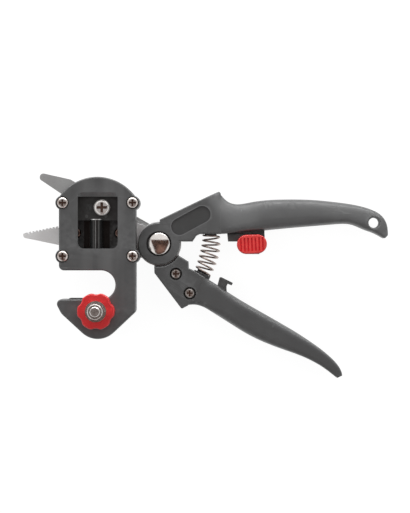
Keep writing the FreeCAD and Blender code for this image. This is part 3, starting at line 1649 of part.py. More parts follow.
def biarc(start, leave, end, arrive):
    """Two tangent arcs from start to end along the given directions."""
    span, both = end - start, leave + arrive
    square = 2 * (1 - leave.dot(arrive))
    along = span.dot(both)
    if abs(square) < 1e-9:
        reach = span.dot(span) / (2 * along)
    else:
        reach = (-along + math.sqrt(along ** 2 + square * span.dot(span))) / square
    first, second = start + leave * reach, end - arrive * reach
    joint = (first + second) * 0.5
    return [arc_by_apex(start, first, joint), arc_by_apex(joint, second, end)]


def arc_by_apex(start, apex, end):
    """The arc whose end tangents meet at the apex."""
    middle = (start + end) * 0.5
    half = (end - start).Length / 2
    height = (apex - middle).Length
    if height < 1e-6:
        return Part.LineSegment(start, end)
    lean = math.atan2(height, half)
    crown = middle + (apex - middle).normalize() * (half * math.tan(lean / 2))
    return Part.Arc(start, crown, end)


def spring_path():
    """The spring's centre line: a straight end, quarter turns of biarcs and a straight end."""
    wire = size("spring_wire").value
    turns = size("spring_turns").value
    steps = int(round(turns * 4))
    top, leave, _, _ = spring_axis(0)
    foot, arrive, _, _ = spring_axis(1)
    run = (foot - top).Length
    first = SPRING_LEAD_SHARE * wire / run
    last = 1 - first
    points = [coil_point(n / 4, first, last) for n in range(steps + 1)]
    fine = 1e-3
    ways = [
        (coil_point(n / 4 + fine, first, last) - coil_point(n / 4 - fine, first, last)).normalize()
        for n in range(steps + 1)
    ]
    start = top + outward(0, 0) * size("spring_radius").value
    end = foot + outward(turns, 1) * size("spring_radius").value
    start_low, end_high = start + leave * (wire / 2), end - arrive * (wire / 2)
    edges = [Part.LineSegment(start, start_low)]
    edges += biarc(start_low, leave, points[1], ways[1])
    for n in range(1, steps - 1):
        edges += biarc(points[n], ways[n], points[n + 1], ways[n + 1])
    edges += biarc(points[steps - 1], ways[steps - 1], end_high, arrive)
    edges.append(Part.LineSegment(end_high, end))
    return edges


def least_gap(edges):
    """Least distance between stretches of the wire that are more than half a turn apart."""
    samples = []
    for edge in edges:
        low, high = edge.FirstParameter, edge.LastParameter
        samples += [edge.value(low + (high - low) * k / 4) for k in range(4)]
    travelled = [0.0]
    for a, b in zip(samples, samples[1:]):
        travelled.append(travelled[-1] + (b - a).Length)
    apart = math.pi * size("spring_radius").value
    gaps = [
        (a - b).Length
        for i, a in enumerate(samples)
        for j, b in enumerate(samples)
        if travelled[j] - travelled[i] > apart
    ]
    return min(gaps) - size("spring_wire").value


def make_return_spring():
    edges = spring_path()
    wire = Part.Wire([edge.toShape() for edge in edges])
    start = edges[0].StartPoint
    way = (edges[0].EndPoint - start).normalize()
    section = Part.Wire([Part.Circle(start, way, size("spring_wire").value / 2).toShape()])
    shell = Part.BRepOffsetAPI.MakePipeShell(wire)
    shell.add(section)
    shell.build()
    shell.makeSolid()
    solid = shell.shape()
    spring = DOC.addObject("Part::Feature", "return_spring")
    spring.Label = "return_spring"
    spring.Shape = solid
    spring.Placement = Placement()
    expected = math.pi * (size("spring_wire").value / 2) ** 2 * wire.Length
    print(f"spring: length {wire.Length:.1f}, volume {solid.Volume:.1f} of {expected:.1f}")
    print(f"spring: least gap to itself {least_gap(edges):.2f}")
    return spring


def export_parts():
    """Checks every object and every sub-part, then writes the files."""
    DOC.recompute()
    for thing in DOC.Objects:
        if "Invalid" in thing.State or "Error" in thing.State:
            raise ValueError(f"{thing.Label} failed: {thing.State}")
    parts = [t for t in DOC.Objects if t.TypeId in ("PartDesign::Body", "Part::Feature")]
    for part in parts:
        if part.Shape.isNull() or not part.Shape.isValid():
            raise ValueError(f"{part.Label} has no valid shape")
    os.makedirs("parts", exist_ok=True)
    for part in parts:
        part.Shape.exportStep(f"parts/{part.Label}.step")
        print(f"{part.Label}: {len(part.Shape.Solids)} solids, {part.Shape.Volume:.1f} mm3")


fill_sheet()
LAYERS = layer_heights()
make_upper_handle()
make_lower_handle()
make_cutting_blade()
make_counter_blade()
make_head_housing()
make_head_back_plate()
make_fasteners()
make_pivot()
make_carrier()
make_grafting_blade()
make_drive_screw()
make_anvil()
make_clamp()
make_lock()
make_catch()
make_spring_seat()
make_return_spring()
export_parts()
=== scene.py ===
import json
import math

import bmesh
import bpy
import numpy as np
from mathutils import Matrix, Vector


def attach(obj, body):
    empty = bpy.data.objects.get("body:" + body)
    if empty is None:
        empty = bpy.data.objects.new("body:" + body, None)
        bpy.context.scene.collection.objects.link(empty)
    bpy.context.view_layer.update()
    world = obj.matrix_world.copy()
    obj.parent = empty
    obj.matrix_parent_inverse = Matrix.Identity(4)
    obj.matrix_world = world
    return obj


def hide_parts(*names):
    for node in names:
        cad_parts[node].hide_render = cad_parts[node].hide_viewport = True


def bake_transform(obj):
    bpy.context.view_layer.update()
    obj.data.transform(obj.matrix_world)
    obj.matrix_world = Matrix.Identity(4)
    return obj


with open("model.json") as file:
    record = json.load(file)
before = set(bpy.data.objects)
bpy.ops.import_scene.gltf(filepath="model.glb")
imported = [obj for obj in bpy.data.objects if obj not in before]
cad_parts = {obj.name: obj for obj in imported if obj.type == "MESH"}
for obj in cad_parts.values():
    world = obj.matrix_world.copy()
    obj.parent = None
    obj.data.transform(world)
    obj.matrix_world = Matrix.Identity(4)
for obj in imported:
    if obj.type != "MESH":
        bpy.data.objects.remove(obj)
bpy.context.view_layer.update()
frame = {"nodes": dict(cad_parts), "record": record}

# Grafting pruner lying on its back, seen from straight above. Lengths are in mm where nothing else is
# said, and MM turns them into metres. The handles' middle plane lies at MIDDLE_Z.
MM = 0.001
MIDDLE_Z = 8.75
NODES = frame["nodes"]
BODY_OF = {n: b for b, ns in frame["record"]["behaviour"]["bodies"].items() for n in ns}
X = Vector((1, 0, 0))
Y = Vector((0, 1, 0))
Z = Vector((0, 0, 1))


# Camera, floor and light

CAMERA_AIM = Vector((27.44, -7.59, MIDDLE_Z))
CAMERA_DISTANCE = 950.0
VIEW_HEIGHT = 308.0
SENSOR_WIDTH = 36.0

# Softboxes: place, place that it faces and size in metres, and power. Gloss shows only one of them.
SOFTBOXES = (
    ("box_far", (0.02, 1.10, 0.28), (0.02, 0.0, 0.20), (2.20, 0.52), 20.0),
    ("box_left", (-1.00, 0.15, 0.70), (0.02, 0.0, 0.0), (0.80, 1.20), 3.2),
    ("box_right", (1.00, 0.10, 0.60), (0.02, 0.0, 0.0), (0.60, 1.20), 2.4),
)
SHOWN_BOX = "box_far"

# Floor: half its size in metres, how far it lies under the tool, its colour and its own glow
FLOOR_REACH = 4.0
FLOOR_DROP = 0.2
FLOOR_COLOUR = (0.16, 0.16, 0.16)
FLOOR_GLOW = 0.93

# Room: an even fill for matt surfaces, and for shiny ones its colours by the Z of a direction
FILL = (0.42, 0.42, 0.42)
WHITE = (1.0, 1.0, 1.0)
ROOM_COLOURS = ((0.15, (0.95, 0.94, 0.93)), (0.95, (0.84, 0.82, 0.80)))

# Camera stand, which shiny surfaces show as a dark shape overhead, by the X, Y and Z of a direction:
# Y of its far edge, then for its left and right edge the gain in X with the distance from there and
# X there, and how soft its outline is. It starts at a height, over a soft distance.
STAND_FAR = 0.30
STAND_LEFT = (0.36, -0.62)
STAND_RIGHT = (-0.50, 0.84)
STAND_SOFT = 0.04
STAND_HEIGHT = 0.3
STAND_HEIGHT_SOFT = 0.2

# Its colours, and the share of the warm one: by the cosine to a direction, and in spots by noise
STAND_DARK = (0.05, 0.028, 0.022)
STAND_WARM = (0.23, 0.13, 0.10)
WARM_DIRECTION = Vector((0.12, -0.38, 0.92)).normalized()
WARM_BY_COSINE = ((0.92, 0.0), (0.995, 0.7))
WARM_BY_NOISE = ((0.42, 0.0), (0.64, 0.4))


def make_camera():
    data = bpy.data.cameras.new("photo_camera")
    data.sensor_width = SENSOR_WIDTH
    data.lens = SENSOR_WIDTH * CAMERA_DISTANCE / VIEW_HEIGHT
    data.clip_start = 0.01
    data.clip_end = 20.0
    camera = bpy.data.objects.new("photo_camera", data)
    bpy.context.scene.collection.objects.link(camera)
    camera.location = (CAMERA_AIM + Z * CAMERA_DISTANCE) * MM
    bpy.context.scene.camera = camera


def make_floor():
    size = FLOOR_REACH
    mesh = bpy.data.meshes.new("floor")
    corners = [(-size, -size, 0), (size, -size, 0), (size, size, 0), (-size, size, 0)]
    mesh.from_pydata(corners, [], [(0, 1, 2, 3)])
    floor = bpy.data.objects.new("floor", mesh)
    floor.location.z = -FLOOR_DROP * MM
    bpy.context.scene.collection.objects.link(floor)
    material, tree, shader = new_material("pale_floor")
    fed(tree, shader, {
        "Base Color": (*FLOOR_COLOUR, 1),
        "Roughness": 0.8,
        "Specular IOR Level": 0.1,
        "Emission Color": (*WHITE, 1),
        "Emission Strength": calculated(tree, "MULTIPLY", seen_rays(tree), FLOOR_GLOW),
    })
    mesh.materials.append(material)


def make_lights():
    for name, place, faced, size, power in SOFTBOXES:
        data = bpy.data.lights.new(name, "AREA")
        data.shape = "RECTANGLE"
        data.size, data.size_y = size
        data.energy = power
        lamp = bpy.data.objects.new(name, data)
        lamp.location = place
        lamp.rotation_euler = (Vector(faced) - Vector(place)).to_track_quat("-Z", "Y").to_euler()
        lamp.visible_glossy = name == SHOWN_BOX
        bpy.context.scene.collection.objects.link(lamp)
    make_room()
    bpy.context.scene.view_settings.view_transform = "Standard"


def stand_shape(tree, x, y, z):
    """1 where the stand is seen overhead. It narrows from its far edge towards the near side."""
    back = calculated(tree, "SUBTRACT", STAND_FAR, y)
    left = calculated(tree, "MULTIPLY_ADD", back, *STAND_LEFT)
    right = calculated(tree, "MULTIPLY_ADD", back, *STAND_RIGHT)
    inside = calculated(tree, "MINIMUM", back, calculated(tree, "SUBTRACT", x, left))
    inside = calculated(tree, "MINIMUM", inside, calculated(tree, "SUBTRACT", right, x))
    overhead = above(tree, z, STAND_HEIGHT, STAND_HEIGHT_SOFT)
    return calculated(tree, "MULTIPLY", above(tree, inside, 0.0, STAND_SOFT), overhead)


def stand_shades(tree):
    """The stand's dark colour, with a warm patch and warm spots."""
    side = tree.nodes.new("ShaderNodeVectorMath")
    side.operation = "DOT_PRODUCT"
    fed(tree, side, {0: coordinates(tree, "Generated"), 1: WARM_DIRECTION})
    patch = ramp(tree, side.outputs["Value"], WARM_BY_COSINE)
    spots = ramp(tree, noise(tree, scale=5.0, detail=2.0, space="Generated"), WARM_BY_NOISE)
    return mixed(tree, calculated(tree, "ADD", patch, spots), STAND_DARK, STAND_WARM)


def make_room():
    """Even fill for matt surfaces, white for the camera, and room and stand for shiny surfaces."""
    world = bpy.data.worlds.new("studio")
    bpy.context.scene.world = world
    world.use_nodes = True
    tree = world.node_tree
    x, y, z = axes_of(tree, "Generated")
    room = mixed(tree, stand_shape(tree, x, y, z), ramp(tree, z, ROOM_COLOURS), stand_shades(tree))
    shown = mixed(tree, ray_kind(tree, "Is Camera Ray"), room, WHITE)
    fed(tree, tree.nodes["Background"], {"Color": mixed(tree, seen_rays(tree), FILL, shown)})


# Shader nodes


def fed(tree, node, inputs):
    """Numbers, colours and other nodes' sockets go into a node's inputs."""
    for name, value in inputs.items():
        if isinstance(value, bpy.types.NodeSocket):
            tree.links.new(value, node.inputs[name])
        else:
            node.inputs[name].default_value = value
    return node


def calculated(tree, operation, *values):
    """A math node over numbers and sockets."""
    node = tree.nodes.new("ShaderNodeMath")
    node.operation = operation
    return fed(tree, node, dict(enumerate(values))).outputs[0]


def ray_kind(tree, name):
    return tree.nodes.new("ShaderNodeLightPath").outputs[name]


def seen_rays(tree):
    """1 for rays that show the background: camera, glossy and transmission rays."""
    kinds = [ray_kind(tree, name) for name in ("Is Camera Ray", "Is Glossy Ray", "Is Transmission Ray")]
    return calculated(tree, "MAXIMUM", calculated(tree, "MAXIMUM", kinds[0], kinds[1]), kinds[2])


def coordinates(tree, space):
    return tree.nodes.new("ShaderNodeTexCoord").outputs[space]


def axes_of(tree, space):
    """The sockets for X, Y and Z in a space."""
    split = tree.nodes.new("ShaderNodeSeparateXYZ")
    return fed(tree, split, {0: coordinates(tree, space)}).outputs


def axis_of(tree, axis):
    """Distance along X, Y or Z of the row's frame, in mm."""
    return calculated(tree, "MULTIPLY", axes_of(tree, "Object")[axis], 1 / MM)


def above(tree, value, limit, soft):
    """1 above a limit and 0 below it, fading over the soft distance."""
    rise = calculated(tree, "DIVIDE", calculated(tree, "SUBTRACT", value, limit - soft / 2), soft)
    return calculated(tree, "MINIMUM", calculated(tree, "MAXIMUM", rise, 0.0), 1.0)


def between(tree, value, low, high, soft):
    """1 where a value is between two limits, fading over the soft distance."""
    return calculated(tree, "SUBTRACT", above(tree, value, low, soft), above(tree, value, high, soft))


def within_box(tree, low, high, soft):
    """1 inside a box of the row's frame, given as corners in mm."""
    share = 1.0
    for axis, first, last in zip("XYZ", low, high):
        share = calculated(tree, "MULTIPLY", between(tree, axis_of(tree, axis), first, last, soft), share)
    return share


def noise(tree, scale, detail, stretch=(1, 1, 1), turn=0.0, space="Object"):
    """Noise in a space, stretched along the axes after a turn about Z."""
    place = coordinates(tree, space)
    for name, value in (("Rotation", (0, 0, turn)), ("Scale", stretch)):
        mapping = tree.nodes.new("ShaderNodeMapping")
        place = fed(tree, mapping, {"Vector": place, name: value}).outputs["Vector"]
    texture = tree.nodes.new("ShaderNodeTexNoise")
    return fed(tree, texture, {"Vector": place, "Scale": scale, "Detail": detail}).outputs["Fac"]


def ramp(tree, value, stops):
    """A colour ramp through two (place, colour) stops. A bare number stands for a grey."""
    node = tree.nodes.new("ShaderNodeValToRGB")
    for element, (place, colour) in zip(node.color_ramp.elements, stops):
        element.position = place
        element.color = (*colour, 1) if isinstance(colour, tuple) else (colour, colour, colour, 1)
    return fed(tree, node, {"Fac": value}).outputs["Color"]


def mixed(tree, factor, first, second):
    """The first colour where the factor is 0, and the second where it is 1."""
    node = tree.nodes.new("ShaderNodeMix")
    node.data_type = "RGBA"
    inputs = {"Factor": factor}
    for name, colour in (("A", first), ("B", second)):
        inputs[name] = (*colour, 1) if isinstance(colour, tuple) else colour
    return fed(tree, node, inputs).outputs["Result"]


def tinted(tree, body, place, amount, colour):
    """A colour laid over the body by an amount, where place is 1."""
    return mixed(tree, calculated(tree, "MULTIPLY", place, amount), body, colour)


def bumped(tree, height, strength, depth):
    """Normals of a relief with a depth in mm."""
    node = tree.nodes.new("ShaderNodeBump")
    fed(tree, node, {"Height": height, "Strength": strength, "Distance": depth * MM})
    return node.outputs["Normal"]


# Materials

# Where a mottled material has its darker and its paler colour, in the range of the noise
MOTTLE = (0.3, 0.7)
# Rubbed edges, paler partly from wear and partly as a painted highlight: how sharp an edge is where they
# start and are full, and their breaks by noise
WEAR_AND_HIGHLIGHT_BY_EDGE = ((0.505, 0.0), (0.56, 1.0))
WEAR_AND_HIGHLIGHT_BY_NOISE = ((0.35, 0.25), (0.62, 1.0))
GRAIN_DEPTH = 0.02
PLATING_DEPTH = 0.01


def new_material(name):
    material = bpy.data.materials.new(name)
    material.use_nodes = True
    tree = material.node_tree
    return material, tree, tree.nodes["Principled BSDF"]


def mottled(tree, value, low, high):
    return ramp(tree, value, tuple(zip(MOTTLE, (low, high))))


def edge_wear_and_highlight(tree):
    """1 along outward edges, broken up by noise. There edges are paler, partly from wear and partly as a
    painted highlight.
    """
    shape = tree.nodes.new("ShaderNodeNewGeometry")
    edge = ramp(tree, shape.outputs["Pointiness"], WEAR_AND_HIGHLIGHT_BY_EDGE)
    breaks = ramp(tree, noise(tree, scale=300.0, detail=5.0), WEAR_AND_HIGHLIGHT_BY_NOISE)
    return calculated(tree, "MULTIPLY", edge, breaks)


def moulded_plastic(name, dark, light, rough, grain=0.3, edge_paling=1.5, marked=None):
    """Moulded plastic with a fine grain, faint mottling, uneven gloss and rubbed edges, which are paler
    partly from wear and partly as a painted highlight. edge_paling is how many times as pale these are, and
    marked shades the colour in some place."""
    material, tree, shader = new_material(name)
    body = mottled(tree, noise(tree, scale=60.0, detail=6.0), dark, light)
    if marked:
        body = marked(tree, body)
    # Edges painted paler: partly rubbed wear, partly a painted highlight
    paled_edge_colour = tuple(channel * edge_paling for channel in light)
    fed(tree, shader, {
        "Base Color": mixed(tree, edge_wear_and_highlight(tree), body, paled_edge_colour),
        "Roughness": mottled(tree, noise(tree, scale=220.0, detail=3.0), rough - 0.05, rough + 0.06),
        "Normal": bumped(tree, noise(tree, scale=2600.0, detail=2.0), grain, GRAIN_DEPTH),
    })
    return material


def brushed_metal(name, dark, light, rough, stretch, turn):
    """Ground steel, partly matt, with fine lines across the stretched axis."""
    material, tree, shader = new_material(name)
    lines = noise(tree, scale=900.0, detail=3.0, stretch=stretch, turn=turn)
    fed(tree, shader, {
        "Base Color": ramp(tree, lines, ((0.32, dark), (0.68, light))),
        "Metallic": 0.4,
        "Roughness": mottled(tree, noise(tree, scale=90.0, detail=4.0), rough - 0.05, rough + 0.07),
        "Normal": bumped(tree, lines, 0.2, GRAIN_DEPTH),
    })
    return material


def plated_metal(name, dark, light, rough, metal=1.0, recess=None, marked=None):
    """Bright plating with a faint haze. Below 1, metal leaves it partly matt. recess gives the two
    heights between which a screw's drive recess is darkened brown with painted shade, and marked shades the
    colour elsewhere."""
    material, tree, shader = new_material(name)
    colour = mottled(tree, noise(tree, scale=400.0, detail=3.0), dark, light)
    # Painted shade: the drive recess is painted dark brown below its middle height
    if recess:
        low, high = recess
        face = above(tree, axis_of(tree, "Z"), (low + high) / 2, high - low)
        colour = mixed(tree, face, DRIVE_SHADE_BROWN, colour)
    if marked:
        colour = marked(tree, colour)
    haze = ((0.35, rough), (0.75, rough + 0.08))
    fed(tree, shader, {
        "Base Color": colour,
        "Metallic": metal,
        "Roughness": ramp(tree, noise(tree, scale=700.0, detail=2.0), haze),
        "Normal": bumped(tree, noise(tree, scale=1500.0, detail=2.0), 0.08, PLATING_DEPTH),
    })
    return material


# Bare badge recess on the upper handle: start, direction, length and radius of its outline, and the
# heights of its floor. Its bands say between which distances from its middle line a colour is laid,
# by how much, and which colour: painted shade on the floor and a painted highlight on the rim.
BADGE_START = (12.3, 10.2)
BADGE_TURN = math.radians(28.5)
BADGE_LENGTH = 15.3
BADGE_RADIUS = 5.0
BADGE_HEIGHTS = (16.0, 18.0)
BADGE_SHADE_AND_HIGHLIGHT_BANDS = (
    (-1.0, BADGE_RADIUS, 0.38, (0.008, 0.008, 0.008)),
    (BADGE_RADIUS, BADGE_RADIUS + 0.5, 0.30, (0.30, 0.30, 0.31)),
)


def badge_distance(tree):
    """Distance from the middle line of the badge recess, in mm."""
    cosine, sine = math.cos(BADGE_TURN), math.sin(BADGE_TURN)
    x = calculated(tree, "SUBTRACT", axis_of(tree, "X"), BADGE_START[0])
    y = calculated(tree, "SUBTRACT", axis_of(tree, "Y"), BADGE_START[1])
    along = calculated(tree, "MULTIPLY_ADD", x, cosine, calculated(tree, "MULTIPLY", y, sine))
    across = calculated(tree, "MULTIPLY_ADD", x, -sine, calculated(tree, "MULTIPLY", y, cosine))
    held = calculated(tree, "MINIMUM", calculated(tree, "MAXIMUM", along, 0.0), BADGE_LENGTH)
    past = calculated(tree, "SUBTRACT", along, held)
    square = calculated(tree, "MULTIPLY_ADD", past, past, calculated(tree, "MULTIPLY", across, across))
    return calculated(tree, "SQRT", square)


def badge_shade_and_highlight(tree, body):
    """The recess's floor is darkened with painted shade, and its rim gets a painted highlight."""
    distance = badge_distance(tree)
    front = between(tree, axis_of(tree, "Z"), *BADGE_HEIGHTS, soft=0.2)
    for low, high, amount, colour in BADGE_SHADE_AND_HIGHLIGHT_BANDS:
        band = calculated(tree, "MULTIPLY", between(tree, distance, low, high, soft=0.3), front)
        body = tinted(tree, body, band, amount, colour)
    return body


# Marks and painted light of the other materials: boxes and spans in mm, colours, and the share of a colour by
# noise
# Painted reflection streaks on the head: their grey and its share by noise
REFLECTED_BAND_GREY = (0.22, 0.22, 0.22)
REFLECTED_BANDS_BY_NOISE = ((0.45, 0.0), (0.72, 0.30))
BED_BOX = ((-48.2, -3.6, 10.5), (-23.4, 28.6, 15.2))
BED_BLACK = (0.020, 0.020, 0.021)
# Painted glow in the pad's gaps: their heights, and the brighter red that lifts their shade
PAD_GAPS = (12.0, 16.5)
PAINTED_GLOW_RED = (0.85, 0.02, 0.035)
# Patch of painted light in the carrier's relief: its box and grey
LIT_PATCH_BOX = ((-42.6, 17.8, 19.0), (-38.9, 23.4, 21.5))
LIT_PATCH_GREY = (0.15, 0.16, 0.165)
# Painted shade in the screws' drive recesses
DRIVE_SHADE_BROWN = (0.22, 0.14, 0.11)
# The grafting blade's painted highlights, on its upper rim and its folds: X and amount of each, and half
# their width
GRAFT_RIM = (14.1, 16.0)
RIM_HIGHLIGHT_WHITE = (0.9, 0.9, 0.9)
GRAFT_FOLDS = ((-41.2, 0.10), (-37.3, 0.40), (-35.6, 0.10))
FOLD_REACH = 0.2
FOLD_HIGHLIGHT_WHITE = (0.8, 0.8, 0.8)


def head_reflected_bands(tree, body):
    """Faint upright streaks of painted reflection on the head's face."""
    streaks = noise(tree, scale=55.0, detail=2.0, stretch=(1.6, 0.12, 0.3))
    return mixed(tree, ramp(tree, streaks, REFLECTED_BANDS_BY_NOISE), body, REFLECTED_BAND_GREY)


def dark_bed(tree, body):
    """The bed on which the carrier slides is black."""
    return mixed(tree, within_box(tree, *BED_BOX, soft=0.2), body, BED_BLACK)


def pad_gap_glow(tree, body):
    """The gaps between the ribs are painted a brighter red, a painted glow that lifts their shade."""
    return mixed(tree, between(tree, axis_of(tree, "Z"), *PAD_GAPS, soft=0.3), body, PAINTED_GLOW_RED)


def painted_light_patch(tree, body):
    """The carrier's relief beside the screw gets a pale grey patch of painted light."""
    return tinted(tree, body, within_box(tree, *LIT_PATCH_BOX, soft=1.2), 0.8, LIT_PATCH_GREY)


def omega_highlights(tree, colour):
    """The loop's upper rim and its folds get painted highlights."""
    x = axis_of(tree, "X")
    for place, amount in GRAFT_FOLDS:
        fold = between(tree, x, place - FOLD_REACH, place + FOLD_REACH, soft=0.3)
        colour = tinted(tree, colour, fold, amount, FOLD_HIGHLIGHT_WHITE)
    return mixed(tree, between(tree, axis_of(tree, "Y"), *GRAFT_RIM, soft=0.1), colour, RIM_HIGHLIGHT_WHITE)


def plastics():
    """The plastics by name, made from their darker and paler colours."""
    grey = ((0.079, 0.080, 0.081), (0.090, 0.091, 0.092))
    # The upper handle's grey is a lit copy of the shell grey: painted paler than the same plastic on the
    # lower handle
    lit_grey = ((0.091, 0.092, 0.093), (0.104, 0.105, 0.106))
    charcoal = ((0.050, 0.050, 0.050), (0.060, 0.060, 0.060))
    slider = ((0.048, 0.048, 0.048), (0.060, 0.060, 0.060))
    carrier = ((0.023, 0.023, 0.023), (0.031, 0.031, 0.031))
    black = ((0.022, 0.022, 0.023), (0.032, 0.032, 0.033))
    red = ((0.60, 0.022, 0.026), (0.68, 0.030, 0.032))
    pad = ((0.64, 0.045, 0.045), (0.72, 0.055, 0.050))
    return {
        "shell": moulded_plastic("grey_shell", *grey, rough=0.42),
        "upper": moulded_plastic("upper_shell", *lit_grey, rough=0.42, marked=badge_shade_and_highlight),
        "head": moulded_plastic("head_shell", *grey, rough=0.40, marked=head_reflected_bands),
        "back": moulded_plastic("back_shell", *grey, rough=0.42, marked=dark_bed),
        "charcoal": moulded_plastic("charcoal_plastic", *charcoal, rough=0.45),
        "black": moulded_plastic("black_plastic", *black, rough=0.40),
        "slider": moulded_plastic("slider_plastic", *slider, rough=0.42),
        "carrier": moulded_plastic("carrier_plastic", *carrier, rough=0.42, marked=painted_light_patch),
        "red": moulded_plastic("red_plastic", *red, rough=0.34, grain=0.12, edge_paling=1.25),
        "pad": moulded_plastic("pad_plastic", *pad, rough=0.34, grain=0.12, edge_paling=1.2, marked=pad_gap_glow),
    }


def metals():
    """The metals by name, made from their darker and paler colours."""
    blade = ((0.40, 0.405, 0.405), (0.49, 0.495, 0.495))
    ground = ((0.91, 0.92, 0.925), (0.99, 0.995, 1.0))
    # The grafting blade is painted near black: a painted dark reflection of the shaded well round it
    dark_painted = ((0.034, 0.034, 0.034), (0.044, 0.044, 0.044))
    silver = ((0.78, 0.75, 0.73), (0.90, 0.87, 0.85))
    dulled = ((0.36, 0.29, 0.26), (0.90, 0.87, 0.84))
    nut = ((0.40, 0.37, 0.35), (0.70, 0.67, 0.65))
    warm = ((0.30, 0.20, 0.17), (0.42, 0.30, 0.26))
    satin = ((0.62, 0.60, 0.58), (0.74, 0.72, 0.70))
    wire = ((0.33, 0.27, 0.245), (0.46, 0.39, 0.36))
    return {
        "blade": brushed_metal("blade_steel", *blade, rough=0.38, stretch=(1, 14, 1), turn=0.2),
        "ground": brushed_metal("ground_steel", *ground, rough=0.36, stretch=(14, 1, 1), turn=-0.19),
        "dark_painted": plated_metal("dark_painted_steel", *dark_painted, rough=0.20, metal=0.4, marked=omega_highlights),
        "bright": plated_metal("bright_steel", *silver, rough=0.10),
        "head_screw": plated_metal("head_screw_steel", *dulled, rough=0.16, metal=0.65, recess=(26.5, 27.0)),
        "tang_screw": plated_metal("tang_screw_steel", *dulled, rough=0.16, metal=0.65, recess=(15.3, 15.8)),
        "drive_screw": plated_metal("drive_screw_steel", *silver, rough=0.12, metal=0.5, recess=(23.3, 24.0)),
        "nut": plated_metal("nut_steel", *nut, rough=0.18, metal=0.75),
        "warm": plated_metal("warm_steel", *warm, rough=0.26),
        "satin": plated_metal("satin_steel", *satin, rough=0.28),
        "spring": plated_metal("spring_wire", *wire, rough=0.22),
    }


# Pieces

# Points this close are one, and facets that turn less than this are one face
WELD = 0.002
FACET_TURN = math.radians(0.4)
# Edges that turn more than this are hard
HARD_TURN = math.radians(33.0)
# A face above this size, in square mm, is shaded flat if its points lie this close to one plane and
# it has more corners than a curved face's facets or lies level. Its edges are hard above a turn.
LARGE_FACE = 2.0
FLATNESS = 0.004
FACET_CORNERS = 4
LEVEL = 0.9999
FLAT_TURN = math.radians(1.5)
# How strongly the larger faces draw the normals of rounded edges
FACE_WEIGHT = 80


def painted(mesh, material):
    mesh.materials.clear()
    mesh.materials.append(material)


def new_piece(name, mesh, node, material):
    """A smooth piece that stands for a CAD node."""
    mesh.polygons.foreach_set("use_smooth", [True] * len(mesh.polygons))
    painted(mesh, material)
    piece = bpy.data.objects.new(name, mesh)
    bpy.context.scene.collection.objects.link(piece)
    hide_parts(node)
    return piece


def welded_copy(node):
    """A bmesh of the CAD node with its doubled points joined and its flat facets merged."""
    work = bmesh.new()
    work.from_mesh(NODES[node].data)
    bmesh.ops.remove_doubles(work, verts=work.verts, dist=WELD * MM)
    bmesh.ops.dissolve_limit(
        work, angle_limit=FACET_TURN, verts=work.verts, edges=work.edges, delimit={"NORMAL"})
    bmesh.ops.recalc_face_normals(work, faces=work.faces)
    return work


def bend_of(face):
    """How far a face's points lie from one plane, in mm."""
    first = face.verts[0].co
    return max(abs(face.normal.dot(v.co - first)) for v in face.verts) / MM


def harden_edges(work):
    """Edges are hard where they turn much, and all round the large flat faces."""
    work.normal_update()
    flat = set()
    for face in work.faces:
        plane = len(face.verts) > FACET_CORNERS or abs(face.normal.z) > LEVEL
        if plane and face.calc_area() > LARGE_FACE * MM * MM and bend_of(face) < FLATNESS:
            flat.add(face)
    for edge in work.edges:
        turn = edge.calc_face_angle(0)
        framed = turn > FLAT_TURN and any(face in flat for face in edge.link_faces)
        edge.smooth = not (framed or turn > HARD_TURN)


def dressed(name, node, material, shape=None):
    """The CAD node after its shape function, with flat faces that are shaded flat."""
    work = welded_copy(node)
    if shape:
        shape(work)
    harden_edges(work)
    mesh = bpy.data.meshes.new(name)
    work.to_mesh(mesh)
    work.free()
    piece = new_piece(name, mesh, node, material)
    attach(piece, BODY_OF[node])
    return piece


def softened(name, node, material, width, shape=None):
    """The same, with its hard edges rounded off over a width in mm."""
    piece = dressed(name, node, material, shape)
    edge = piece.modifiers.new("edges", "BEVEL")
    edge.width = width * MM
    edge.segments = 2
    edge.limit_method = "ANGLE"
    edge.angle_limit = HARD_TURN
    flat = piece.modifiers.new("flat_faces", "WEIGHTED_NORMAL")
    flat.weight = FACE_WEIGHT


def carried(node, material):
    """A CAD node that keeps its own shape and gets its material."""
    painted(NODES[node].data, material)


# Tools that shape the handles

# Distance between the cuts over a region. A point this close to a cut's plane lies on it.
GRID = 1.0
ON_PLANE = 0.001
# Rounds of averaging, the share of each round, and a weight so small that it stands for none
SETTLE_ROUNDS = 40
SETTLE_SHARE = 0.8
NO_WEIGHT = 1e-9
# Shortest length of an edge in the weights, and in a finished mesh
SHORTEST = 0.02
# The step between arm and grip is closed this far from the middle plane and beyond. Its points are
# of one place where they lie this close in plan, and they are joined over a distance.
STEP_LEAST = 5.0
STEP_PLACE = 0.02
STEP_JOIN = 0.03
# The grips' faces stay flat further out than the solids' and turn down close to their edges. The
# shares are of half the grip's thickness, which is taken once a step, over some steps either side.
FULLER_SHARES = (0.40, 0.75)
FULLER_STEP = 2.0
FULLER_NEAR = 2


def rising(value, low, high):
    """0 below low and 1 above high, with an even start and end."""
    t = min(max((value - low) / (high - low), 0), 1)
    return t * t * (3 - 2 * t)


def hill(value, start, full, fading, end):
    """0 outside start and end, and 1 from full to fading."""
    return rising(value, start, full) * (1 - rising(value, fading, end))


def sliced(work, axis, low, high, inside):
    """The faces that reach into a region are cut by planes across an axis."""
    faces = [f for f in work.faces if any(inside(v.co) for v in f.verts)]
    geometry = [*{v for f in faces for v in f.verts}, *{e for f in faces for e in f.edges}, *faces]
    for n in range(int((high - low) / GRID) + 1):
        cut = bmesh.ops.bisect_plane(
            work, geom=geometry, dist=ON_PLANE * MM,
            plane_co=axis * (low + n * GRID) * MM, plane_no=axis,
        )
        geometry = cut["geom"]


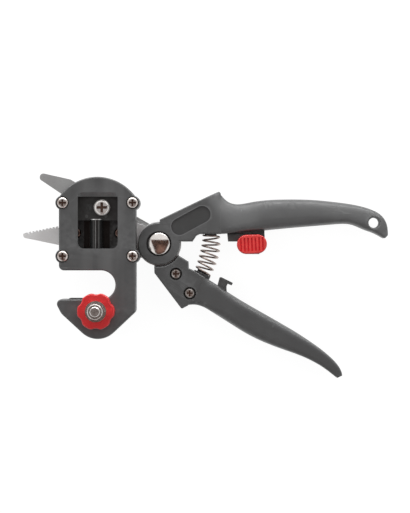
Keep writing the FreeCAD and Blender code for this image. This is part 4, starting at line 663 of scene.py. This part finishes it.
def neighbour_weights(faces):
    """Mean value weights: with them an even slope keeps its shape, however uneven its faces are."""
    rows = []
    for face in faces:
        for loop in face.loops:
            here = loop.vert
            for other in (loop.link_loop_next.vert, loop.link_loop_prev.vert):
                length = max((other.co - here.co).length, SHORTEST * MM)
                rows.append((here.index, other.index, math.tan(loop.calc_angle() / 2) / length))
    here, other, weight = zip(*rows)
    return np.array(here), np.array(other), np.array(weight)


def settled(work, weight):
    """Heights alone are averaged with their neighbours, so the outline in plan stays as it is."""
    region = [f for f in work.faces if any(weight(v.co) > 0 for v in f.verts)]
    faces = bmesh.ops.triangulate(work, faces=region)["faces"]
    work.verts.index_update()
    height = np.array([v.co.z for v in work.verts])
    share = np.array([weight(v.co) for v in work.verts])
    here, other, near = neighbour_weights(faces)
    total = np.maximum(np.bincount(here, near, len(height)), NO_WEIGHT)
    for _ in range(SETTLE_ROUNDS):
        mean = np.bincount(here, near * height[other], len(height)) / total
        height += SETTLE_SHARE * share * (mean - height)
    for vertex, z in zip(work.verts, height):
        vertex.co.z = z


def cut_bent_faces(work):
    """Large faces stay whole where they are flat and are cut into triangles where they bend."""
    bmesh.ops.dissolve_degenerate(work, dist=SHORTEST * MM, edges=work.edges)
    work.normal_update()
    bent = [f for f in work.faces if len(f.verts) > 3 and bend_of(f) > FLATNESS]
    bmesh.ops.triangulate(work, faces=bent)


def closed_step(work, inside):
    """The small step between a flat arm and its grip is closed, front and back."""
    groups = {}
    for vertex in work.verts:
        height = vertex.co.z - MIDDLE_Z * MM
        if inside(vertex.co) and abs(height) > STEP_LEAST * MM:
            x, y = (round(value / (STEP_PLACE * MM)) for value in vertex.co.xy)
            groups.setdefault((x, y, height > 0), []).append(vertex)
    for group in groups.values():
        level = sum(v.co.z for v in group) / len(group)
        for vertex in group:
            vertex.co.z = level
    closed = [v for group in groups.values() for v in group]
    bmesh.ops.remove_doubles(work, verts=closed, dist=STEP_JOIN * MM)


def half_thickness(work, along):
    """Places along a grip, in mm, and its greatest half thickness near each of them, in metres."""
    place = np.array([v.co.dot(along) for v in work.verts]) / (FULLER_STEP * MM)
    reach = np.abs(np.array([v.co.z for v in work.verts]) - MIDDLE_Z * MM)
    first = int(place.min()) - 1
    top = np.zeros(int(place.max()) + 2 - first)
    np.maximum.at(top, np.round(place - first).astype(int), reach)
    near, window = FULLER_NEAR, 2 * FULLER_NEAR + 1
    wide = np.array([top[max(n - near, 0):n + near + 1].max() for n in range(len(top))])
    even = np.convolve(np.pad(wide, near, mode="edge"), np.ones(window) / window, "valid")
    return (np.arange(len(top)) + first) * FULLER_STEP, even


def fuller(work, along, start, full):
    """A grip's faces are made flatter. Along the grip, this starts at one place and is full at
    another."""
    places, tops = half_thickness(work, along)
    for vertex in work.verts:
        place = vertex.co.dot(along) / MM
        share = rising(place, start, full)
        if share > 0:
            top = np.interp(place, places, tops)
            height = (vertex.co.z - MIDDLE_Z * MM) / top
            share *= rising(abs(height), *FULLER_SHARES)
            flatter = math.copysign(1 - max(1 - abs(height), 0) ** 2, height)
            vertex.co.z = MIDDLE_Z * MM + (height + share * (flatter - height)) * top


# Upper handle. Its crown: front and back fall away towards the upper edge. Along the arm the crown
# starts before the horn. Its reach and depth are those of the neck behind the horn, then the grip's.
ARM_TURN = math.radians(26.5)
ARM_ALONG = Vector((math.cos(ARM_TURN), math.sin(ARM_TURN)))
CROWN_START = (36.0, 45.0)
NECK_END = (50.0, 66.0)
NECK_CROWN = (17.0, 5.8)
GRIP_CROWN = (11.0, 3.5)
# The horn's X, how close to it the step is closed, and the distance between the edge's places
HORN_X = 35.2
HORN_REACH = 0.05
EDGE_STEP = 0.5
# The region that is cut finely, where its heights settle and where the grip's faces turn flatter
ARM_CUT_X = (28.0, 62.0)
ARM_CUT_Y = (0.0, 32.0)
ARM_BLEND = (31.0, 34.0, 52.0, 62.0)
UPPER_FULLER = (35.0, 44.0)


def upper_edge(work):
    """Places along the upper handle's upper edge behind the horn, one for each step of X."""
    tops = {}
    for vertex in work.verts:
        if vertex.co.x > HORN_X * MM:
            step = round(vertex.co.x / (EDGE_STEP * MM))
            if step not in tops or vertex.co.y > tops[step].y:
                tops[step] = vertex.co.copy()
    return np.array([tops[step].xy for step in sorted(tops)])


def crown_drop(place, edge):
    """How far the crown falls away at a place, in metres, given places along the upper edge."""
    start = rising(place.xy.dot(ARM_ALONG) / MM, *CROWN_START)
    if start == 0:
        return 0.0
    distance = np.hypot(*(edge - np.array(place.xy)).T).min() / MM
    neck = 1 - rising(place.x / MM, *NECK_END)
    reach, depth = (grip + (wide - grip) * neck for wide, grip in zip(NECK_CROWN, GRIP_CROWN))
    return start * depth * max(1 - distance / reach, 0) ** 2 * MM


def crowned(work):
    """The upper handle with its crown, and with its flat arm flowing into a fuller grip."""

    def cut(place):
        return ARM_CUT_X[0] < place.x / MM < ARM_CUT_X[1]

    sliced(work, X, *ARM_CUT_X, cut)
    sliced(work, Y, *ARM_CUT_Y, cut)
    fuller(work, X, *UPPER_FULLER)
    edge = upper_edge(work)
    top = max(v.co.z for v in work.verts) - MIDDLE_Z * MM
    for vertex in work.verts:
        share = 1 - crown_drop(vertex.co, edge) / top
        vertex.co.z = MIDDLE_Z * MM + (vertex.co.z - MIDDLE_Z * MM) * share
    closed_step(work, lambda place: abs(place.x / MM - HORN_X) < HORN_REACH)
    settled(work, lambda place: hill(place.x / MM, *ARM_BLEND))
    cut_bent_faces(work)


# Lower handle, in a frame turned along its grip: where its flat arm flows into the grip, how far the
# region that is cut finely reaches across, the step that is closed, and where the grip's faces turn
# flatter. The heights stay as they are round the screw bore in the arm, out to its edge.
GRIP_TURN = math.radians(-32.0)
GRIP_ALONG = Vector((math.cos(GRIP_TURN), math.sin(GRIP_TURN), 0))
GRIP_ACROSS = Vector((-GRIP_ALONG.y, GRIP_ALONG.x, 0))
LOWER_NECK = (30.0, 34.0, 37.0, 42.0)
LOWER_SIDES = (-24.0, 6.0)
LOWER_STEP = (33.5, 36.5)
LOWER_FULLER = (36.0, 44.0)
NECK_BORE = Vector((18.3, -29.4))
BORE_EDGE = (3.9, 6.0)


def lower_neck(work):
    """The lower handle with its flat arm flowing into a fuller grip."""
    start, end = LOWER_NECK[0], LOWER_NECK[-1]

    def cut(place):
        return start < place.dot(GRIP_ALONG) / MM < end

    def blend(place):
        clear = (place.xy / MM - NECK_BORE).length
        return hill(place.dot(GRIP_ALONG) / MM, *LOWER_NECK) * rising(clear, *BORE_EDGE)

    sliced(work, GRIP_ALONG, start, end, cut)
    sliced(work, GRIP_ACROSS, *LOWER_SIDES, cut)
    closed_step(work, lambda place: LOWER_STEP[0] < place.dot(GRIP_ALONG) / MM < LOWER_STEP[1])
    settled(work, blend)
    fuller(work, GRIP_ALONG, *LOWER_FULLER)
    cut_bent_faces(work)


# The carrier's relief: its corners, and the heights between which a plug fills it. The plug carries the patch
# of painted light.
RELIEF = ((-42.6, 19.6), (-39.0, 18.0), (-39.0, 23.4), (-40.9, 23.4))
RELIEF_HEIGHTS = (15.0, 21.2)


def relief_floor(work):
    """A shallow floor in the relief beside the drive screw, which carries the patch of painted light."""
    low, high = [[work.verts.new(Vector((x, y, z)) * MM) for x, y in RELIEF] for z in RELIEF_HEIGHTS]
    work.faces.new(reversed(low))
    work.faces.new(high)
    for n in range(len(RELIEF)):
        after = (n + 1) % len(RELIEF)
        work.faces.new((low[n], low[after], high[after], high[n]))


# Round pieces, on which edges that turn more than this are hard
ROUND_TURN = math.radians(50.0)


def ring(centre, first, second, radius, sides):
    """Points on a circle, in the plane of two directions."""
    turns = [2 * math.pi * k / sides for k in range(sides)]
    return [centre + first * (radius * math.cos(t)) + second * (radius * math.sin(t)) for t in turns]


def ringed_mesh(name, rings):
    """A closed mesh through rings of points in mm. Its faces look outwards if the rings run
    anticlockwise as seen along the way."""
    sides = len(rings[0])
    faces = []
    for n in range(len(rings) - 1):
        for k in range(sides):
            a, b = n * sides + k, n * sides + (k + 1) % sides
            faces.append((a, a + sides, b + sides, b))
    last = (len(rings) - 1) * sides
    faces.append(tuple(range(sides)))
    faces.append(tuple(reversed(range(last, last + sides))))
    mesh = bpy.data.meshes.new(name)
    mesh.from_pydata([point * MM for points in rings for point in points], [], faces)
    return mesh


# Pivot bolt: its dome is part of a sphere, from a small flat in the middle out to an edge, and below
# it come rings of radius and height
DOME_TOP = 18.8
DOME_SPHERE = 16.0
DOME_FLAT = 0.3
DOME_EDGE = 6.0
DOME_STEPS = 14
BOLT_RINGS = ((6.3, 17.50), (6.5, 17.25), (6.6, 16.9), (6.6, 15.0), (4.0, 15.0), (4.0, 0.0))
BOLT_SIDES = 72


def dome_ring(n):
    """Radius and height of one ring of the dome."""
    radius = DOME_FLAT + n * (DOME_EDGE - DOME_FLAT) / DOME_STEPS
    return radius, DOME_TOP - DOME_SPHERE + math.sqrt(DOME_SPHERE ** 2 - radius ** 2)


def make_pivot_bolt(material):
    profile = [*(dome_ring(n) for n in range(DOME_STEPS + 1)), *BOLT_RINGS]
    rings = [ring(Z * height, X, Y, radius, BOLT_SIDES) for radius, height in profile]
    mesh = ringed_mesh("pivot_dome", rings)
    piece = new_piece("pivot_dome", mesh, "pivot_bolt", material)
    mesh.set_sharp_from_angle(angle=ROUND_TURN)
    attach(piece, BODY_OF["pivot_bolt"])


# Return spring: its axis bows from the upper handle to its seat, and the coil is widest midway
SPRING_TOP = Vector((31.1, 5.6, MIDDLE_Z))
SPRING_FOOT = Vector((26.1, -17.2, MIDDLE_Z))
SPRING_LEAVE = Vector((0.10, -1.0, 0)).normalized()
SPRING_ARRIVE = Vector((-0.407, -0.914, 0))
SPRING_TURNS = 6.5
SPRING_RADII = (4.7, 5.45)
WIRE_RADIUS = 0.55
WIRE_SIDES = 14
TURN_STEPS = 30


def spring_axis(t):
    """Place and direction on the coil's axis, with t from 0 at the top to 1 at the seat."""
    chord = SPRING_FOOT - SPRING_TOP
    run = chord.length
    passed = 3 * t * t - 2 * t ** 3
    place = (
        SPRING_TOP * (1 - passed) + SPRING_FOOT * passed
        + SPRING_LEAVE * (run * (t ** 3 - 2 * t * t + t))
        + SPRING_ARRIVE * (run * (t ** 3 - t * t))
    )
    slope = (
        chord * (6 * t - 6 * t * t)
        + SPRING_LEAVE * (run * (3 * t * t - 4 * t + 1))
        + SPRING_ARRIVE * (run * (3 * t * t - 2 * t))
    )
    return place, slope.normalized()


def spring_point(t):
    """Place on the wire's centre line."""
    place, ahead = spring_axis(t)
    side = Vector((-ahead.y, ahead.x, 0))
    low, high = SPRING_RADII
    radius = low + (high - low) * math.sin(math.pi * t)
    spin = 2 * math.pi * SPRING_TURNS * (1 - t)
    return place + side * (radius * math.cos(spin)) + Vector((0, 0, radius * math.sin(spin)))


def wire_rings(points):
    """Rings round the points of the wire's centre line, each turned as little as it can be."""
    rings = []
    normal = Z
    for n, point in enumerate(points):
        ahead = (points[min(n + 1, len(points) - 1)] - points[max(n - 1, 0)]).normalized()
        normal = (normal - ahead * normal.dot(ahead)).normalized()
        rings.append(ring(point, normal, normal.cross(ahead), WIRE_RADIUS, WIRE_SIDES))
    return rings


def make_spring(material):
    steps = int(SPRING_TURNS * TURN_STEPS)
    mesh = ringed_mesh("spring_coil", wire_rings([spring_point(n / steps) for n in range(steps + 1)]))
    piece = new_piece("spring_coil", mesh, "return_spring", material)
    mesh.set_sharp_from_angle(angle=ROUND_TURN)
    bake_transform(piece)


# Rounding of the edges of stampings, of the ribbed pad and of moulded blocks
STAMPED_EDGE = 0.08
PAD_EDGE = 0.15
MOULDED_EDGE = 0.25


def make_shells(paint):
    dressed("upper_shell", "upper_handle", paint["upper"], crowned)
    dressed("lower_shell", "lower_handle", paint["shell"], lower_neck)
    dressed("head_shell", "head_housing", paint["head"])
    dressed("back_shell", "head_back_plate", paint["back"])


def make_blades(paint):
    softened("lever_blade", "cutting_blade", paint["blade"], STAMPED_EDGE)
    softened("serrated_jaw", "counter_blade", paint["ground"], STAMPED_EDGE)


def make_blocks(paint):
    softened("carrier_block", "blade_carrier", paint["carrier"], MOULDED_EDGE, relief_floor)
    softened("catch_hook", "lock_catch", paint["charcoal"], MOULDED_EDGE)
    softened("slider_piece", "lock_slider", paint["slider"], MOULDED_EDGE)
    softened("anvil_piece", "anvil", paint["black"], MOULDED_EDGE)
    softened("spring_seat_piece", "spring_seat", paint["black"], MOULDED_EDGE)
    softened("knob_piece", "clamp_knob", paint["red"], MOULDED_EDGE)
    softened("pad_piece", "lock_pad", paint["pad"], PAD_EDGE)


def colour_small_parts(paint):
    for node in ("head_nuts", "tang_nuts", "pivot_nut", "drive_nut"):
        carried(node, paint["bright"])
    for node in ("clamp_bolt", "clamp_locknut"):
        carried(node, paint["nut"])
    carried("clamp_washer", paint["satin"])
    carried("blade_pins", paint["charcoal"])
    carried("head_screws", paint["head_screw"])
    carried("tang_screws", paint["tang_screw"])
    carried("drive_screw", paint["drive_screw"])
    carried("head_mount_screws", paint["warm"])
    # The grafting blade's near-black colour is a painted dark reflection
    carried("grafting_blade", paint["dark_painted"])


def main():
    make_camera()
    make_floor()
    make_lights()
    paint = {**plastics(), **metals()}
    make_shells(paint)
    make_blades(paint)
    make_blocks(paint)
    make_pivot_bolt(paint["bright"])
    make_spring(paint["spring"])
    colour_small_parts(paint)


main()
bpy.context.view_layer.update()
